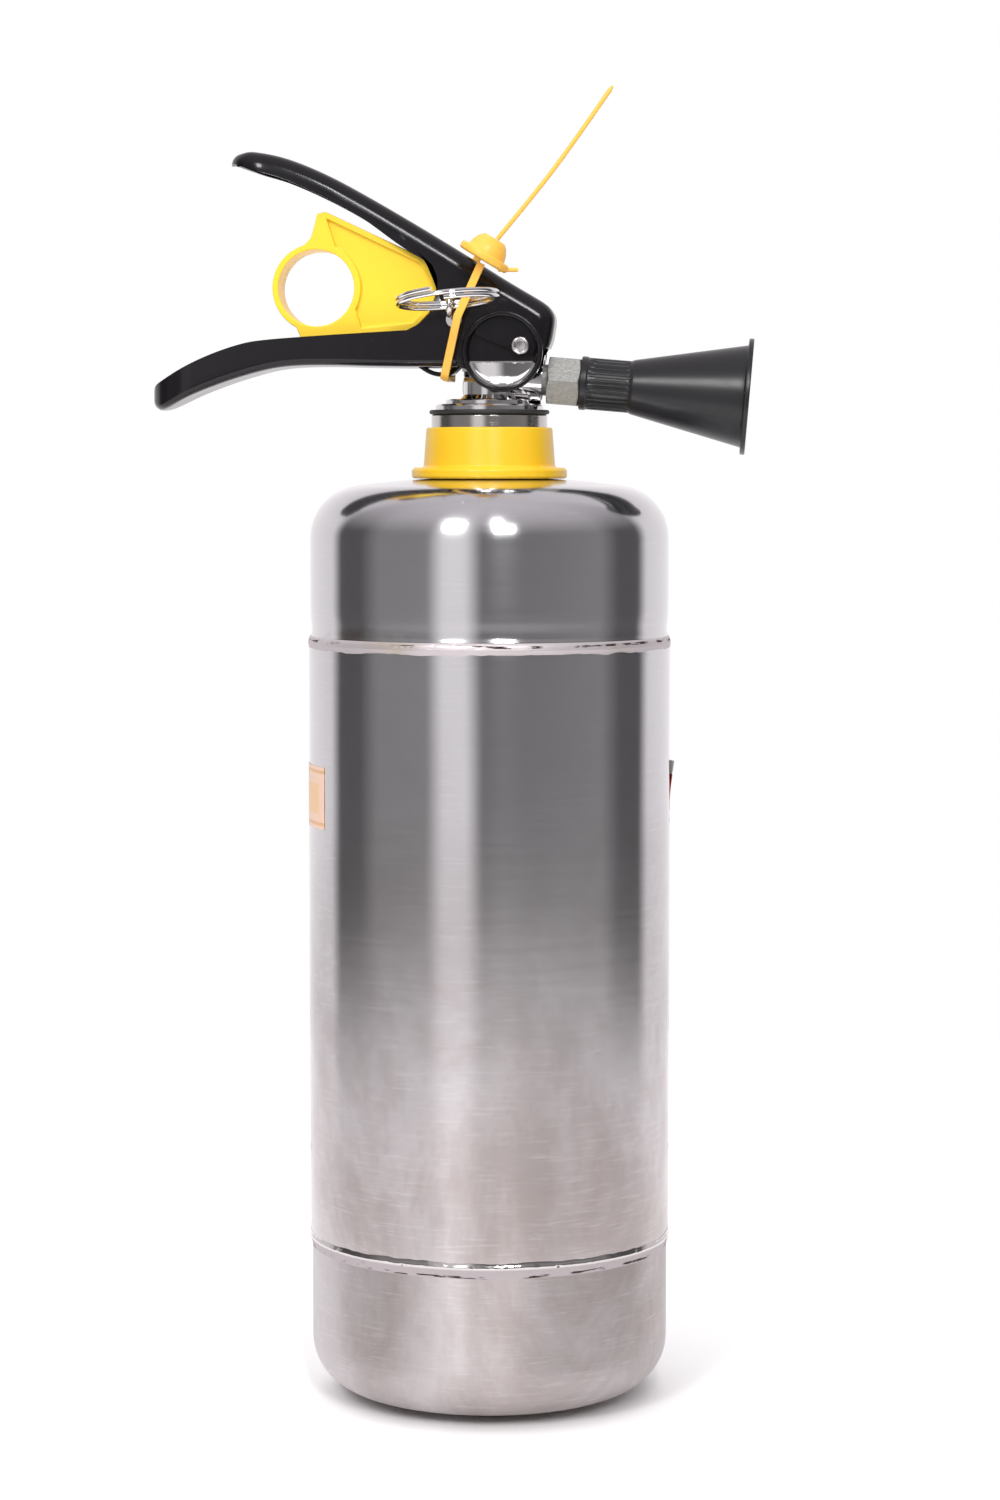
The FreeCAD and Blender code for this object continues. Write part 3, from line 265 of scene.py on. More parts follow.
def steel_skin(name, colour, polish, stain, brushing):
    """Stainless sheet: round-going brushing, soft clouds, a little unevenness from rolling, a colour that
    darkens towards the bottom of the vessel, and stains that grow there."""
    graph, shader, place = begin(name)
    height = graph.split(place)[2]
    down = graph.spread(height, 0.0, 1.0, 0.185, 0.075)
    clouds = graph.noise(graph.stretched(place, (1, 1, 0.55)), 22.0, 6.0, 0.66, 0.4)
    cloud_edge = graph.ramp(clouds, [(0.42, 0.0), (0.62, 1.0)])
    patches = graph.noise(place, 55.0, 5.0, 0.7)
    patch_edge = graph.ramp(patches, [(0.42, 0.0), (0.7, 1.0)])
    stained = graph.times(graph.math("MULTIPLY_ADD", down, 0.75, 0.12), cloud_edge)
    dull = graph.times(stained, stain)
    # The colour darkens smoothly towards the bottom.
    low_colour = (colour[0] * 0.66, colour[1] * 0.605, colour[2] * 0.595)
    base = graph.mix(graph.times(down, 0.85 * stain), colour, low_colour)
    dull_colour = (low_colour[0] * 0.64, low_colour[1] * 0.59, low_colour[2] * 0.56)
    base = graph.mix(graph.times(dull, 0.75), base, dull_colour)
    speckle = graph.times(patch_edge, graph.math("MULTIPLY_ADD", down, 0.30, 0.015))
    base = graph.mix(speckle, base, (0.38, 0.31, 0.29))
    welded = graph.spread(height, 1.0, 0.0, 0.2345, 0.2415)
    heated = graph.ramp(graph.noise(place, 38.0, 3.0, 0.5), [(0.60, 0.0), (0.68, 0.55)])
    above_weld = graph.math("GREATER_THAN", height, BARREL_HIGH * MM)
    heated = graph.times(graph.times(welded, heated), above_weld)
    base = graph.mix(heated, base, (0.42, 0.26, 0.16))
    lines = graph.noise(graph.stretched(place, (16, 16, 620)), 1.0, 4.0, 0.7)
    scratches = graph.noise(graph.stretched(place, (75, 75, 1150)), 1.0, 3.0, 0.7)
    scratched = graph.ramp(scratches, [(0.54, 0.0), (0.72, 0.15)])
    base = graph.mix(scratched, base, (0.96, 0.955, 0.97))
    graph.link(base, shader, "Base Color")
    rough = graph.math("MULTIPLY_ADD", down, stain * 0.09, polish)
    rough = graph.math("MULTIPLY_ADD", stained, 0.025 * stain, rough)
    rough = graph.math("MULTIPLY_ADD", lines, brushing, rough)
    graph.link(rough, shader, "Roughness")
    rolling = graph.noise(graph.stretched(place, (1, 1, 0.35)), 22.0, 2.0)
    graph.bump(shader, rolling, 0.10, 0.0016)
    tangent = graph.node("ShaderNodeTangent", direction_type="RADIAL", axis="Z")
    graph.link(tangent.outputs[0], shader, "Tangent")
    settings(shader, Metallic=1.0, Anisotropic=0.75, Anisotropic_Rotation=0.25)


def weld_skin():
    """Smooth melted steel, cracked along its middle; the lower weld is darker, with a bright rim."""
    graph, shader, place = begin("weld")
    height = graph.split(place)[2]
    drift = graph.math("MULTIPLY_ADD", graph.noise(place, 30.0, 3.0), 0.0016, -0.0008)
    wandering = graph.math("ADD", height, drift)
    upper, lower = (graph.math("ABSOLUTE", graph.math("SUBTRACT", wandering, level))
                    for level in (UPPER_CRACK, LOWER_CRACK))
    line = graph.math("LESS_THAN", graph.math("MINIMUM", upper, lower), HALF_CRACK)
    crack = graph.ramp(graph.noise(graph.stretched(place, (1, 1, 5.5)), 125.0, 4.0, 0.6, 0.3),
                       [(0.52, 0.0), (0.56, 1.0)])
    where = graph.ramp(graph.noise(place, 60.0, 2.0), [(0.44, 0.0), (0.50, 1.0)])
    crack = graph.times(graph.times(crack, where), line)
    heat = graph.mix(graph.ramp(graph.noise(place, 45.0, 3.0), [(0.5, 0.0), (0.75, 1.0)]),
                     (0.58, 0.53, 0.545), (0.50, 0.43, 0.36))
    is_lower = graph.math("LESS_THAN", height, LOWER_WELD_TOP)
    over = graph.times(graph.math("SUBTRACT", height, LOWER_WELD_EDGE), 1 / MM)
    polished = graph.times(is_lower, graph.ramp(over, [(0.35, 0.0), (0.75, 1.0)]))
    heat = graph.mix(is_lower, heat, (0.42, 0.375, 0.385))
    heat = graph.mix(polished, heat, (0.64, 0.61, 0.60))
    graph.link(graph.mix(crack, heat, (0.05, 0.035, 0.03)), shader, "Base Color")
    rough = graph.mix(polished, graph.ramp(crack, [(0.0, 0.44), (1.0, 0.8)]), (0.10, 0.10, 0.10))
    graph.link(rough, shader, "Roughness")
    graph.link(graph.ramp(polished, [(0.0, 0.55), (1.0, 1.0)]), shader, "Metallic")
    graph.bump(shader, graph.math("SUBTRACT", graph.noise(place, 260.0, 2.0), crack), 0.35, 0.0003)


def black_paint(name, colour, roughness):
    """Gloss powder coat: a slight orange peel, faint dust, thin and lighter along the edges."""
    graph, shader, place = begin(name)
    worn = graph.ramp(graph.node("ShaderNodeNewGeometry").outputs["Pointiness"], [(0.54, 0.0), (0.66, 1.0)])
    broken = graph.times(worn, graph.ramp(graph.noise(place, 260.0, 4.0), [(0.55, 0.0), (0.8, 0.35)]))
    specks = graph.ramp(graph.noise(place, 1500.0, 2.0), [(0.70, 0.0), (0.78, 1.0)])
    base = graph.mix(graph.times(specks, 0.05), colour, (0.30, 0.30, 0.31))
    graph.link(graph.mix(broken, base, (0.16, 0.16, 0.17)), shader, "Base Color")
    rough = graph.spread(graph.noise(place, 90.0, 4.0), roughness - 0.05, roughness + 0.09)
    graph.link(rough, shader, "Roughness")
    graph.bump(shader, graph.noise(place, 300.0, 2.0), 0.07, 0.0003)
    settings(shader, Coat_Weight=0.1, Coat_Roughness=0.05, Specular_IOR_Level=0.34)


def print_skin(name, paper, bands, blocks):
    """A printed film seen in its own place on the barrel: bands are (low, high, colour) in height,
    and blocks are (angle from, angle to, low, high, colour); there is no lettering."""
    graph, shader, place = begin(name)
    x, y, z = graph.split(place)
    turn = graph.times(graph.math("ARCTAN2", y, x), 180 / math.pi)
    turn = graph.math("ADD", turn, graph.times(graph.math("LESS_THAN", turn, 0.0), 360.0))
    height = graph.times(z, 1 / MM)
    colour = graph.mix(graph.noise(place, 40.0), [c * 0.97 for c in paper], paper)
    for low, high, ink in bands:
        colour = graph.mix(graph.inside(height, low, high), colour, ink)
    for start, end, low, high, ink in blocks:
        field = graph.times(graph.inside(turn, start, end), graph.inside(height, low, high))
        colour = graph.mix(field, colour, ink)
    graph.link(colour, shader, "Base Color")
    graph.bump(shader, graph.noise(place, 70.0, 2.0), 0.10, 0.0006)
    graph.link(graph.ramp(graph.noise(place, 120.0), [(0.0, 0.28), (1.0, 0.42)]), shader, "Roughness")


# ---------------------------------------------------------------- meshes


def make(name, mesh, body, slot, node, crease=35.0, flats=False, skin=None):
    """Turns a mesh into a finished piece that stands for a CAD node. Its skin is its slot's, unless
    another is named; flats keeps flat faces shaded flat right up to their rounded edges."""
    piece = bpy.data.objects.new(name, mesh)
    scene.collection.objects.link(piece)
    mesh.materials.clear()
    mesh.materials.append(skins[skin or slot])
    mesh.polygons.foreach_set("use_smooth", [True] * len(mesh.polygons))
    mesh.set_sharp_from_angle(angle=math.radians(crease))
    mesh.update()
    if flats:
        modifier = piece.modifiers.new("flats", "WEIGHTED_NORMAL")
        modifier.keep_sharp = True
        modifier.weight = 50
    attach(piece, body)
    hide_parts(node)
    return piece


def mesh_of(points, faces):
    """A clean mesh in metres from points in millimetres: doubled points merged, normals out."""
    mesh = bpy.data.meshes.new("mesh")
    mesh.from_pydata([Vector(point) * MM for point in points], [], faces)
    clean = bmesh.new()
    clean.from_mesh(mesh)
    bmesh.ops.remove_doubles(clean, verts=clean.verts, dist=0.000004)
    bmesh.ops.dissolve_degenerate(clean, edges=clean.edges, dist=0.000002)
    bmesh.ops.recalc_face_normals(clean, faces=clean.faces)
    clean.to_mesh(mesh)
    clean.free()
    return mesh


def tube_faces(rows, count, wrap=False):
    """Faces between rows of points that each go right round; wrap joins the last row to the first."""
    faces = []
    for row in range(rows if wrap else rows - 1):
        near, far = row * count, (row + 1) % rows * count
        for side in range(count):
            after = (side + 1) % count
            faces.append((near + side, far + side, far + after, near + after))
    return faces


def polar(radius, angle, height):
    return Vector((radius * math.cos(angle), radius * math.sin(angle), height))


def wander(angle, scale, height):
    """A smooth noise round the Z axis, which meets itself after a full turn."""
    return noise.noise(polar(scale, angle, height))


def helix(radius, turns, low, high, steps, start=0.0):
    """Points along a coil round Z."""
    return [polar(radius, start + 2 * math.pi * turns * step / steps, low + (high - low) * step / steps)
            for step in range(steps + 1)]


def joined(meshes):
    """One mesh from several."""
    whole = bmesh.new()
    for mesh in meshes:
        whole.from_mesh(mesh)
    made = bpy.data.meshes.new("joined")
    whole.to_mesh(made)
    whole.free()
    return made


def modified(mesh, *modifiers):
    """The mesh after those modifiers, each given as (type, settings)."""
    holder = bpy.data.objects.new("holder", mesh)
    scene.collection.objects.link(holder)
    for kind, values in modifiers:
        modifier = holder.modifiers.new(kind.lower(), kind)
        for name, value in values.items():
            setattr(modifier, name, value)
    graph = bpy.context.evaluated_depsgraph_get()
    graph.update()
    made = bpy.data.meshes.new_from_object(holder.evaluated_get(graph))
    bpy.data.objects.remove(holder)
    return made


def filleted(corners, steps=5, closed=True):
    """A polygon's points with its corners rounded: a corner is (x, y) or (x, y, radius)."""
    points = []
    count = len(corners)
    for index, corner in enumerate(corners):
        here = Vector(corner[:2])
        radius = corner[2] if len(corner) > 2 else 0.0
        if radius <= 0 or (not closed and index in (0, count - 1)):
            points.append(tuple(here))
            continue
        before = Vector(corners[index - 1][:2]) - here
        after = Vector(corners[(index + 1) % count][:2]) - here
        half = before.angle(after) / 2
        trim = min(radius / math.tan(half), before.length * 0.49, after.length * 0.49)
        radius = trim * math.tan(half)
        start = here + before.normalized() * trim
        centre = here + (before.normalized() + after.normalized()).normalized() * (radius / math.sin(half))
        finish = here + after.normalized() * trim
        first = start - centre
        swept = first.angle_signed(finish - centre)
        for step in range(steps + 1):
            turn = Matrix.Rotation(-swept * step / steps, 2)
            points.append(tuple(centre + turn @ first))
    return points


def arc(centre, radius, start, end, steps):
    """Points on a circle from one angle to another, in degrees."""
    return [(centre[0] + radius * math.cos(math.radians(start + (end - start) * step / steps)),
             centre[1] + radius * math.sin(math.radians(start + (end - start) * step / steps)))
            for step in range(steps + 1)]


def lathe(profile, segments=128, place=None, shape=None):
    """A profile of (radius, height) turned round Z. shape moves a point: (r, angle, z) to (r, z)."""
    points = []
    for step in range(segments):
        angle = 2 * math.pi * step / segments
        for radius, height in profile:
            if shape:
                radius, height = shape(radius, angle, height)
            points.append(polar(radius, angle, height))
    if place is not None:
        points = [place @ point for point in points]
    return mesh_of(points, tube_faces(segments, len(profile), wrap=True))


def smooth_line(points, steps=8):
    """A Catmull-Rom line through points."""
    line = []
    vectors = [Vector(point) for point in points]
    for index in range(len(vectors) - 1):
        b, c = vectors[index], vectors[index + 1]
        a = vectors[index - 1] if index else b * 2 - c
        d = vectors[index + 2] if index + 2 < len(vectors) else c * 2 - b
        for step in range(steps):
            t = step / steps
            line.append(0.5 * (b * 2 + (c - a) * t + (a * 2 - b * 5 + c * 4 - d) * t * t
                               + (b * 3 - a - c * 3 + d) * t ** 3))
    return line + [vectors[-1]]


def sweep(path, section, width_axis, size=lambda share: 1.0):
    """A section of (across, up) points carried along a path. across stays close to width_axis, and
    size gives the section's scale at each share of the path."""
    last, count = len(path) - 1, len(section)
    points = []
    for index, here in enumerate(path):
        ahead = (path[min(index + 1, last)] - path[max(index - 1, 0)]).normalized()
        across = (Vector(width_axis) - ahead * ahead.dot(Vector(width_axis))).normalized()
        up = ahead.cross(across)
        scale = size(index / last)
        points += [here + (across * a + up * b) * scale for a, b in section]
    ends = [tuple(range(count)), tuple(range(last * count, (last + 1) * count))]
    return mesh_of(points, tube_faces(last + 1, count) + ends)


def round_section(radius, sides=16):
    return arc((0, 0), radius, 0, 360 - 360 / sides, sides - 1)


def box_section(half_width, half_height, corner):
    return filleted([(-half_width, -half_height, corner), (half_width, -half_height, corner),
                     (half_width, half_height, corner), (-half_width, half_height, corner)], 3)


def level_at(line):
    """A function that reads a line's height at any X; the line runs towards larger X."""
    pairs = sorted((point[0], point[1]) for point in line)

    def read(x):
        if x <= pairs[0][0]:
            return pairs[0][1]
        for (x0, z0), (x1, z1) in zip(pairs, pairs[1:]):
            if x <= x1:
                return z0 if x1 - x0 < 1e-9 else z0 + (z1 - z0) * (x - x0) / (x1 - x0)
        return pairs[-1][1]

    return read


ALONG_Y = Matrix.Rotation(-math.pi / 2, 4, "X")


def ring_rows(ring, inset):
    """A closed ring of points moved square to itself by inset, to its left as it is read."""
    moved = []
    count = len(ring)
    for index in range(count):
        before, here, after = (Vector(ring[(index + shift) % count]) for shift in (-1, 0, 1))
        first = (here - before).normalized()
        second = (after - here).normalized()
        normal = Vector((-first.y - second.y, first.x + second.x))
        reach = normal.length
        normal = normal / reach if reach > 1e-6 else Vector((-first.y, first.x))
        cosine = max(normal.dot(Vector((-first.y, first.x))), 0.5)
        moved.append(here + normal * (inset / cosine))
    return moved


def turning(ring):
    """Twice a ring's area, positive when it runs anticlockwise."""
    return sum(ring[index - 1][0] * ring[index][1] - ring[index][0] * ring[index - 1][1]
               for index in range(len(ring)))


def plate(outline, low, high, edge=0.3, holes=(), steps=3):
    """A flat plate in the XZ plane from one Y to another, with rounded edges and real holes."""
    outline = list(outline) if turning(outline) > 0 else list(reversed(outline))
    rings = [outline] + [list(hole) if turning(hole) < 0 else list(reversed(hole)) for hole in holes]
    made = bmesh.new()
    ends = ([], [])
    for ring in rings:
        rows = []
        for step in range(steps + 1):
            angle = math.pi / 2 * step / steps
            rows.append((edge * (1 - math.sin(angle)), low + edge * (1 - math.cos(angle))))
        rows += [(inset, high + low - level) for inset, level in reversed(rows)]
        verts = []
        for inset, level in rows:
            verts.append([made.verts.new((point.x * MM, level * MM, point.y * MM))
                          for point in ring_rows(ring, inset)])
        count = len(ring)
        for first, second in zip(verts, verts[1:]):
            for index in range(count):
                after = (index + 1) % count
                made.faces.new((first[index], first[after], second[after], second[index]))
        for end, row in zip(ends, (verts[0], verts[-1])):
            end.extend(made.edges.get((row[index], row[(index + 1) % count])) for index in range(count))
    for end in ends:
        bmesh.ops.triangle_fill(made, use_beauty=True, edges=end)
    bmesh.ops.dissolve_limit(made, angle_limit=0.002, verts=made.verts, edges=made.edges)
    bmesh.ops.recalc_face_normals(made, faces=made.faces)
    mesh = bpy.data.meshes.new("plate")
    made.to_mesh(mesh)
    made.free()
    return mesh


def softened(mesh, width, angle=50.0, steps=2, merge=0.002, flat=0.0):
    """The mesh with its sharp edges rounded, after near points are merged and, where flat is given
    in degrees, its flats are made whole."""
    clean = bmesh.new()
    clean.from_mesh(mesh)
    bmesh.ops.remove_doubles(clean, verts=clean.verts, dist=merge * MM)
    if flat:
        bmesh.ops.dissolve_limit(
            clean, angle_limit=math.radians(flat), verts=clean.verts, edges=clean.edges)
        bmesh.ops.recalc_face_normals(clean, faces=clean.faces)
    clean.to_mesh(mesh)
    clean.free()
    return modified(mesh, ("BEVEL", {
        "width": width * MM, "segments": steps, "limit_method": "ANGLE",
        "angle_limit": math.radians(angle), "use_clamp_overlap": True}))


def from_cad(node, width, angle=30.0, steps=3):
    """A copy of a CAD node's mesh, welded, its flats made whole and its sharp edges rounded."""
    return softened(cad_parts[node].data.copy(), width, angle, steps, 0.003, 0.6)


def along(points, count):
    """Points spaced evenly by length along a run of points, first and last included."""
    points = [Vector(point) for point in points]
    lengths = [0.0]
    for first, second in zip(points, points[1:]):
        lengths.append(lengths[-1] + (second - first).length)
    placed = []
    index = 0
    for step in range(count + 1):
        target = lengths[-1] * step / count
        while index < len(points) - 2 and lengths[index + 1] < target:
            index += 1
        span = lengths[index + 1] - lengths[index]
        placed.append(points[index].lerp(points[index + 1], (target - lengths[index]) / span if span else 0))
    return placed


def cut(mesh, cutter):
    """The mesh with another mesh cut from it."""
    tool = bpy.data.objects.new("tool", cutter)
    scene.collection.objects.link(tool)
    made = modified(mesh, ("BOOLEAN", {"object": tool, "operation": "DIFFERENCE", "solver": "EXACT"}))
    bpy.data.objects.remove(tool)
    return made


def block_mesh(low, high):
    """A box between two corners, only ever used to cut with."""
    corners = [(x, y, z) for x in (low[0], high[0]) for y in (low[1], high[1]) for z in (low[2], high[2])]
    sides = [(0, 1, 3, 2), (4, 6, 7, 5), (0, 4, 5, 1), (2, 3, 7, 6), (0, 2, 6, 4), (1, 5, 7, 3)]
    return mesh_of(corners, sides)


def bar_mesh(radius, x, z):
    """A round bar along Y through the whole valve, only ever used to cut with."""
    profile = [(0, -20), (radius, -20), (radius, 20), (0, 20)]
    return lathe(profile, 40, Matrix.Translation((x, 0, z)) @ ALONG_Y)


ROUNDS = 14
PRESSED_STEEL = 1.5


def pressed(shoulder, edge, level, half, up, webs, bend=2.4):
    """Sheet steel pressed into a channel with a round end.

    shoulder and edge are the same number of points in the side view, from the tip back: the
    folded side of the channel and its free edge. The first ROUNDS follow the round end, where
    level gives the folded side's height. up is 1 where the folded side is the upper one. The web
    joins the two sides over the first ones, as many as webs; behind them the sides run on as
    flat plates.
    """
    folds = 7
    count = len(shoulder)

    def column(index, side, skin):
        here, free = shoulder[index], edge[index]
        before, after = shoulder[max(index - 1, 0)], shoulder[min(index + 1, count - 1)]
        run = (after - before).normalized()
        out = Vector((-run.y, run.x)) * up
        plan, wide = Vector((0, 1)), half
        if index <= ROUNDS:
            turn = math.pi / 2 * index / ROUNDS
            plan, wide = Vector((math.cos(turn), math.sin(turn))), half * math.sin(turn)
            out = Vector((0, up))
        elif index <= ROUNDS + 8:
            blend = (index - ROUNDS) / 9
            out = (Vector((0, up)) * (1 - blend) + out * blend).normalized()
        flat = index >= webs
        radius = 0.0 if flat else min(bend, (here - free).length * 0.86)
        ring = max(radius - skin, 0.0)
        reach = max(radius, skin)
        start = here - out * (0.0 if flat else reach)
        rows = []
        for row in range(4):
            point = free.lerp(start, row / 4)
            rows.append((point.x + plan.x * skin, (wide - plan.y * skin) * side, point.y))
        for row in range(folds + 1):
            angle = math.pi / 2 * row / folds
            inward = reach - ring * math.cos(angle)
            fall = 0.0 if flat else reach - ring * math.sin(angle)
            x = here.x + plan.x * inward
            z = level(x) if index <= ROUNDS else here.y
            rows.append((x - out.x * fall, (wide - plan.y * inward) * side, z - out.y * fall))
        return rows

    size = folds + 5
    points = [point for skin in (0.0, PRESSED_STEEL) for side in (-1, 1) for index in range(count)
              for point in column(index, side, skin)]

    def at(skin, side, index, row):
        return ((skin * 2 + side) * count + index) * size + row

    last, back = size - 1, count - 1
    faces = []

    def span(first, second, third, fourth):
        faces.append((at(*first), at(*second), at(*third), at(*fourth)))

    for side in range(2):
        for index in range(back):
            for skin in range(2):
                for row in range(last):
                    span((skin, side, index, row), (skin, side, index + 1, row),
                         (skin, side, index + 1, row + 1), (skin, side, index, row + 1))
            for row in [0] if index < webs - 1 else [0, last]:
                span((0, side, index, row), (0, side, index + 1, row),
                     (1, side, index + 1, row), (1, side, index, row))
        for row in range(last):
            span((0, side, back, row), (0, side, back, row + 1),
                 (1, side, back, row + 1), (1, side, back, row))
    for skin in range(2):
        for index in range(webs - 1):
            span((skin, 0, index, last), (skin, 0, index + 1, last),
                 (skin, 1, index + 1, last), (skin, 1, index, last))
    span((0, 0, webs - 1, last), (0, 1, webs - 1, last), (1, 1, webs - 1, last), (1, 0, webs - 1, last))
    return mesh_of(points, faces)


# ---------------------------------------------------------------- the skins of every slot

steel_skin("polished_steel", STEEL, 0.12, 0.0, 0.05)
steel_skin("barrel_steel", STEEL, 0.11, 1.0, 0.05)
steel_skin("foot_steel", STEEL, 0.30, 0.9, 0.06)
weld_skin()
material("neck_steel", (0.66, 0.64, 0.61), 1.0, 0.14, 0.10, 70, 0.05, 0.12, 1.0,
         stretch=(60, 60, 3200), depth=0.00008)
material("collar_yellow", (0.92, 0.56, 0.02), 0.0, 0.30, 0.05, 50, 0.07, 0.10, 420, coat=0.15)
material("black_rubber", (0.022, 0.021, 0.021), 0.0, 0.58, 0.2, 90, 0.1, 0.35, 900)
material("valve_chrome", (0.80, 0.79, 0.79), 1.0, 0.06, 0.04, 55, 0.03, 0.08, 260, depth=0.00025)
material("bright_chrome", (0.84, 0.84, 0.85), 1.0, 0.07, 0.03, 55, 0.04, 0.06, 300)
material("brass", (0.76, 0.55, 0.24), 1.0, 0.24, 0.10, 60, 0.08, 0.25, 700)
material("spring_steel", (0.56, 0.56, 0.58), 1.0, 0.26, 0.08, 80, 0.07, 0.15, 900)
material("dip_plastic", (0.80, 0.80, 0.77), 0.0, 0.42, 0.04, 45, 0.08, 0.10, 500)
material("gauge_steel", (0.72, 0.71, 0.71), 1.0, 0.22, 0.05, 60, 0.06, 0.20, 1.0,
         stretch=(900, 900, 60), depth=0.00006)
material("needle_paint", (0.03, 0.03, 0.03), 0.0, 0.45, 0.2, 200, 0.08, 0.1, 900)
black_paint("handle_black", (0.007, 0.006, 0.0075), 0.16)
material("rivet_steel", (0.62, 0.61, 0.61), 1.0, 0.24, 0.12, 160, 0.09, 0.25, 700)
material("cast_grey", (0.33, 0.33, 0.315), 0.45, 0.46, 0.30, 900, 0.12, 0.9, 1300, depth=0.0003)
material("horn_black", (0.014, 0.0135, 0.015), 0.0, 0.30, 0.12, 60, 0.05, 0.07, 620, Specular_IOR_Level=0.4)
material("pin_steel", (0.66, 0.65, 0.65), 1.0, 0.20, 0.08, 120, 0.08, 0.15, 800)
material("block_yellow", (0.97, 0.66, 0.03), 0.0, 0.34, 0.04, 45, 0.08, 0.12, 380, coat=0.1)
material("seal_orange", (0.95, 0.52, 0.07), 0.0, 0.34, 0.04, 80, 0.06, 0.06, 260)


def clear_skin():
    """The gauge's lens, faintly smeared."""
    graph, shader, place = begin("gauge_clear")
    rough = graph.ramp(graph.noise(place, 180.0, 3.0), [(0.35, 0.02), (0.75, 0.07)])
    graph.link(rough, shader, "Roughness")
    tint = graph.mix(graph.noise(place, 60.0), (0.97, 0.98, 0.98), (0.92, 0.95, 0.95))
    graph.link(tint, shader, "Base Color")
    settings(shader, Transmission_Weight=0.95, IOR=1.49)


def dial_skin():
    """A white dial with red, green and red fields round its edge and plain tick marks."""
    graph, shader, place = begin("gauge_face")
    x, _, z = graph.split(place)
    x = graph.math("SUBTRACT", x, GAUGE_X * MM)
    z = graph.math("SUBTRACT", z, GAUGE_Z * MM)
    square = graph.math("ADD", graph.times(x, x), graph.times(z, z))
    radius = graph.times(graph.math("SQRT", square), 1 / MM)
    angle = graph.times(graph.math("ARCTAN2", x, z), 180 / math.pi)
    red, green = (0.62, 0.04, 0.03), (0.05, 0.42, 0.12)
    colour = graph.mix(graph.noise(place, 300.0), (0.84, 0.84, 0.81), (0.90, 0.90, 0.87))
    zone = graph.inside(radius, 6.6, 9.6)
    for low, high, ink in ((-75, -25, red), (-25, 25, green), (25, 75, red)):
        colour = graph.mix(graph.times(zone, graph.inside(angle, low, high)), colour, ink)
    share = graph.math("FRACT", graph.math("MULTIPLY_ADD", angle, 1 / 12.5, 0.5))
    folded = graph.math("ABSOLUTE", graph.math("SUBTRACT", share, 0.5))
    tick = graph.times(graph.math("LESS_THAN", folded, 0.035), graph.inside(radius, 6.0, 10.2))
    tick = graph.times(tick, graph.inside(angle, -76, 76))
    graph.link(graph.mix(tick, colour, (0.03, 0.03, 0.03)), shader, "Base Color")
    graph.link(graph.ramp(graph.noise(place, 500.0), [(0.0, 0.35), (1.0, 0.5)]), shader, "Roughness")


clear_skin()
dial_skin()
INK = (0.10, 0.10, 0.11)
STICKER_EDGE = (0.70, 0.40, 0.20)
print_skin(
    "label_print", (0.80, 0.78, 0.74),
    [(180, 191, (0.52, 0.05, 0.04)), (75, 77, INK), (176.5, 177.3, INK)],
    [(20, 72, 118, 168, (0.22, 0.30, 0.36)), (78, 110, 140, 168, (0.62, 0.58, 0.50)),
     (78, 110, 118, 134, (0.45, 0.47, 0.46)), (118, 168, 118, 168, (0.70, 0.52, 0.20)),
     (20, 60, 84, 108, (0.58, 0.60, 0.60)), (66, 116, 84, 108, (0.70, 0.66, 0.58)),
     (122, 168, 84, 108, (0.38, 0.42, 0.44))])
print_skin(
    "sticker_print", (0.82, 0.56, 0.42), [(193.2, 194.2, STICKER_EDGE), (177.5, 178.5, STICKER_EDGE)],
    [(190, 206, 181, 190, (0.80, 0.50, 0.26))])


# ---------------------------------------------------------------- vessel

ROOT = "extinguisher"
BARREL_RADIUS = 55.0
CROWN_RADIUS, KNUCKLE_RADIUS, SHEET = 300.0, 16.0, 0.8
SHELL_RADIUS = 54.5
JOGGLE, LAP = 54.15, 5.0
FILM_OUT, FILM_IN = 55.2, 55.03


def crown(rim, radius, knuckle, steps=(14, 22)):
    """The outside of an end shell from its rim to its middle, as (radius, height over the
    knuckle's centre)."""
    inset, reach = rim - knuckle, radius - knuckle
    depth = math.sqrt(reach ** 2 - inset ** 2)
    turn = math.degrees(math.atan2(depth, inset))
    points = arc((inset, 0), knuckle, 0, turn, steps[0])
    meet = points[-1][0]
    for step in range(1, steps[1] + 1):
        here = meet * (1 - step / steps[1])
        points.append((here, math.sqrt(radius ** 2 - here ** 2) - depth))
    return points, radius - depth


